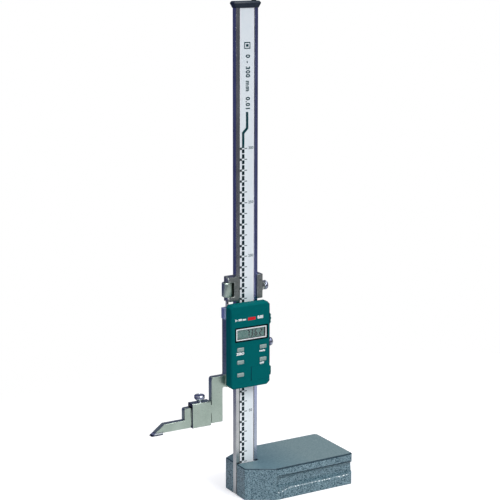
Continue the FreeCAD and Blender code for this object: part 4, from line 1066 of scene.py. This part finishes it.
# A darker copy of the satin steel for the carriage: painted shade. Its edges are painted paler: wear and a
# painted highlight.
carriage_painted_shade_steel = metal(
    "carriage_painted_shade_steel", (700, 700, 700), (0.29, 0.325, 0.3), (0.375, 0.41, 0.385), 0.31, depth=0.000004,
    wear_and_light=(0.6, 0.64, 0.63),
)
soften("carriage_block", "carriage", MILLED_EDGE, "satin_steel", carriage_painted_shade_steel)
low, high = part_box("fine_adjust_nut")
length = high.z - low.z
rows = [
    (0.0, NUT_RADIUS - NUT_CHAMFER, "plain"),
    (NUT_CHAMFER, NUT_RADIUS, "straight"),
    (length - NUT_CHAMFER, NUT_RADIUS, "plain"),
    (length, NUT_RADIUS - NUT_CHAMFER, "plain"),
]
centre = (rod_axis.x, 0, low.z)
turned("fine_adjust_nut", "adjusting_nut", centre, UP, rows, satin_steel, teeth=40, bore=NUT_BORE)

# Scriber: a ground steel blade with a cranked tail, and a carbide tip brazed on its end. The upright's
# outer edge is rounded and painted dark as shade, and so are the tip's bevels and its foot.
TIP_EDGE = 0.35 * MM
SCRIBER_EDGE = 0.3 * MM
UPRIGHT_EDGE = 1.4 * MM
UPRIGHT_SIDE = -63 * MM
UPRIGHT_LEAST = 5 * MM
FOOT_PAINTED_SHADE = (0.05, 0.07, 0.13)
FOOT_FADE = (1.5 * MM, 1.2 * MM)
DOWN = (0, 0, -1)

carbide = metal("carbide", (2500, 2500, 2500), (0.56, 0.62, 0.64), (0.72, 0.77, 0.79), 0.25)
# Dark steel for painted shade on the upright's edge, the tip's bevels and the clamp's left face.
steel_painted_shade = metal("steel_painted_shade", (1500, 1500, 1500), (0.03, 0.035, 0.075), (0.06, 0.07, 0.12), 0.35)
form = joined_copy("scriber")
scriber_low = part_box("scriber")[0]
upright = []
for edge in sharp_edges(form):
    start, end = (vert.co for vert in edge.verts)
    outer = max(start.y, end.y) < scriber_low.y + NEAR and max(start.x, end.x) < UPRIGHT_SIDE
    if outer and is_upright(edge) and edge.calc_length() > UPRIGHT_LEAST:
        upright.append(edge)
round_over(form, upright, UPRIGHT_EDGE, 3, finish=1)
round_over(form, sharp_edges(form), SCRIBER_EDGE)
dress(form, "scriber", "scriber_blade", "satin_steel", satin_steel, steel_painted_shade)
tip_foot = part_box("carbide_tip")[0].z
# The tip's lowest part is painted dark: painted shade.
tinted(carbide, FOOT_PAINTED_SHADE, DOWN, *(-tip_foot - height for height in FOOT_FADE))
form = joined_copy("carbide_tip")
round_over(form, sharp_edges(form), TIP_EDGE, 1, finish=1)
dress(form, "carbide_tip", "tip", "carbide", carbide, steel_painted_shade)

# Clamp: a steel box round the arm's stub and the scriber's tail. A knurled screw on top presses both
# together through a bronze pad.
PAINTED_SHADE_TILT = 0.3
PAINTED_SHADE_REACH = 0.5 * MM
CLAMP_RADIUS = 5.0 * MM
CLAMP_HEAD = ((2.75 * MM, 2.16 * MM), 2.44 * MM, (4.4 * MM, 0.8 * MM))

form = joined_copy("clamp_frame")
round_over(form, sharp_edges(form), MILLED_EDGE)
clamp_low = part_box("clamp_frame")[0]
# The box's left face and the rounding beside it take the dark steel, a painted shade.
for face in form.faces:
    if face.normal.x < -PAINTED_SHADE_TILT and face.calc_center_median().x < clamp_low.x + PAINTED_SHADE_REACH:
        face.material_index = 1
dress(form, "clamp_frame", "clamp_box", "satin_steel", satin_steel, steel_painted_shade)
paint(bronze, "clamp_pad")
low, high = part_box("clamp_screw")
rows = screw_rows(high.z - low.z, CLAMP_RADIUS, *CLAMP_HEAD)
centre = ((low.x + high.x) / 2, 0, low.z)
turned("clamp_screw", "clamp_screw_turned", centre, UP, rows, chrome, knurl_shade_steel, teeth=28, pitch=M4_PITCH)
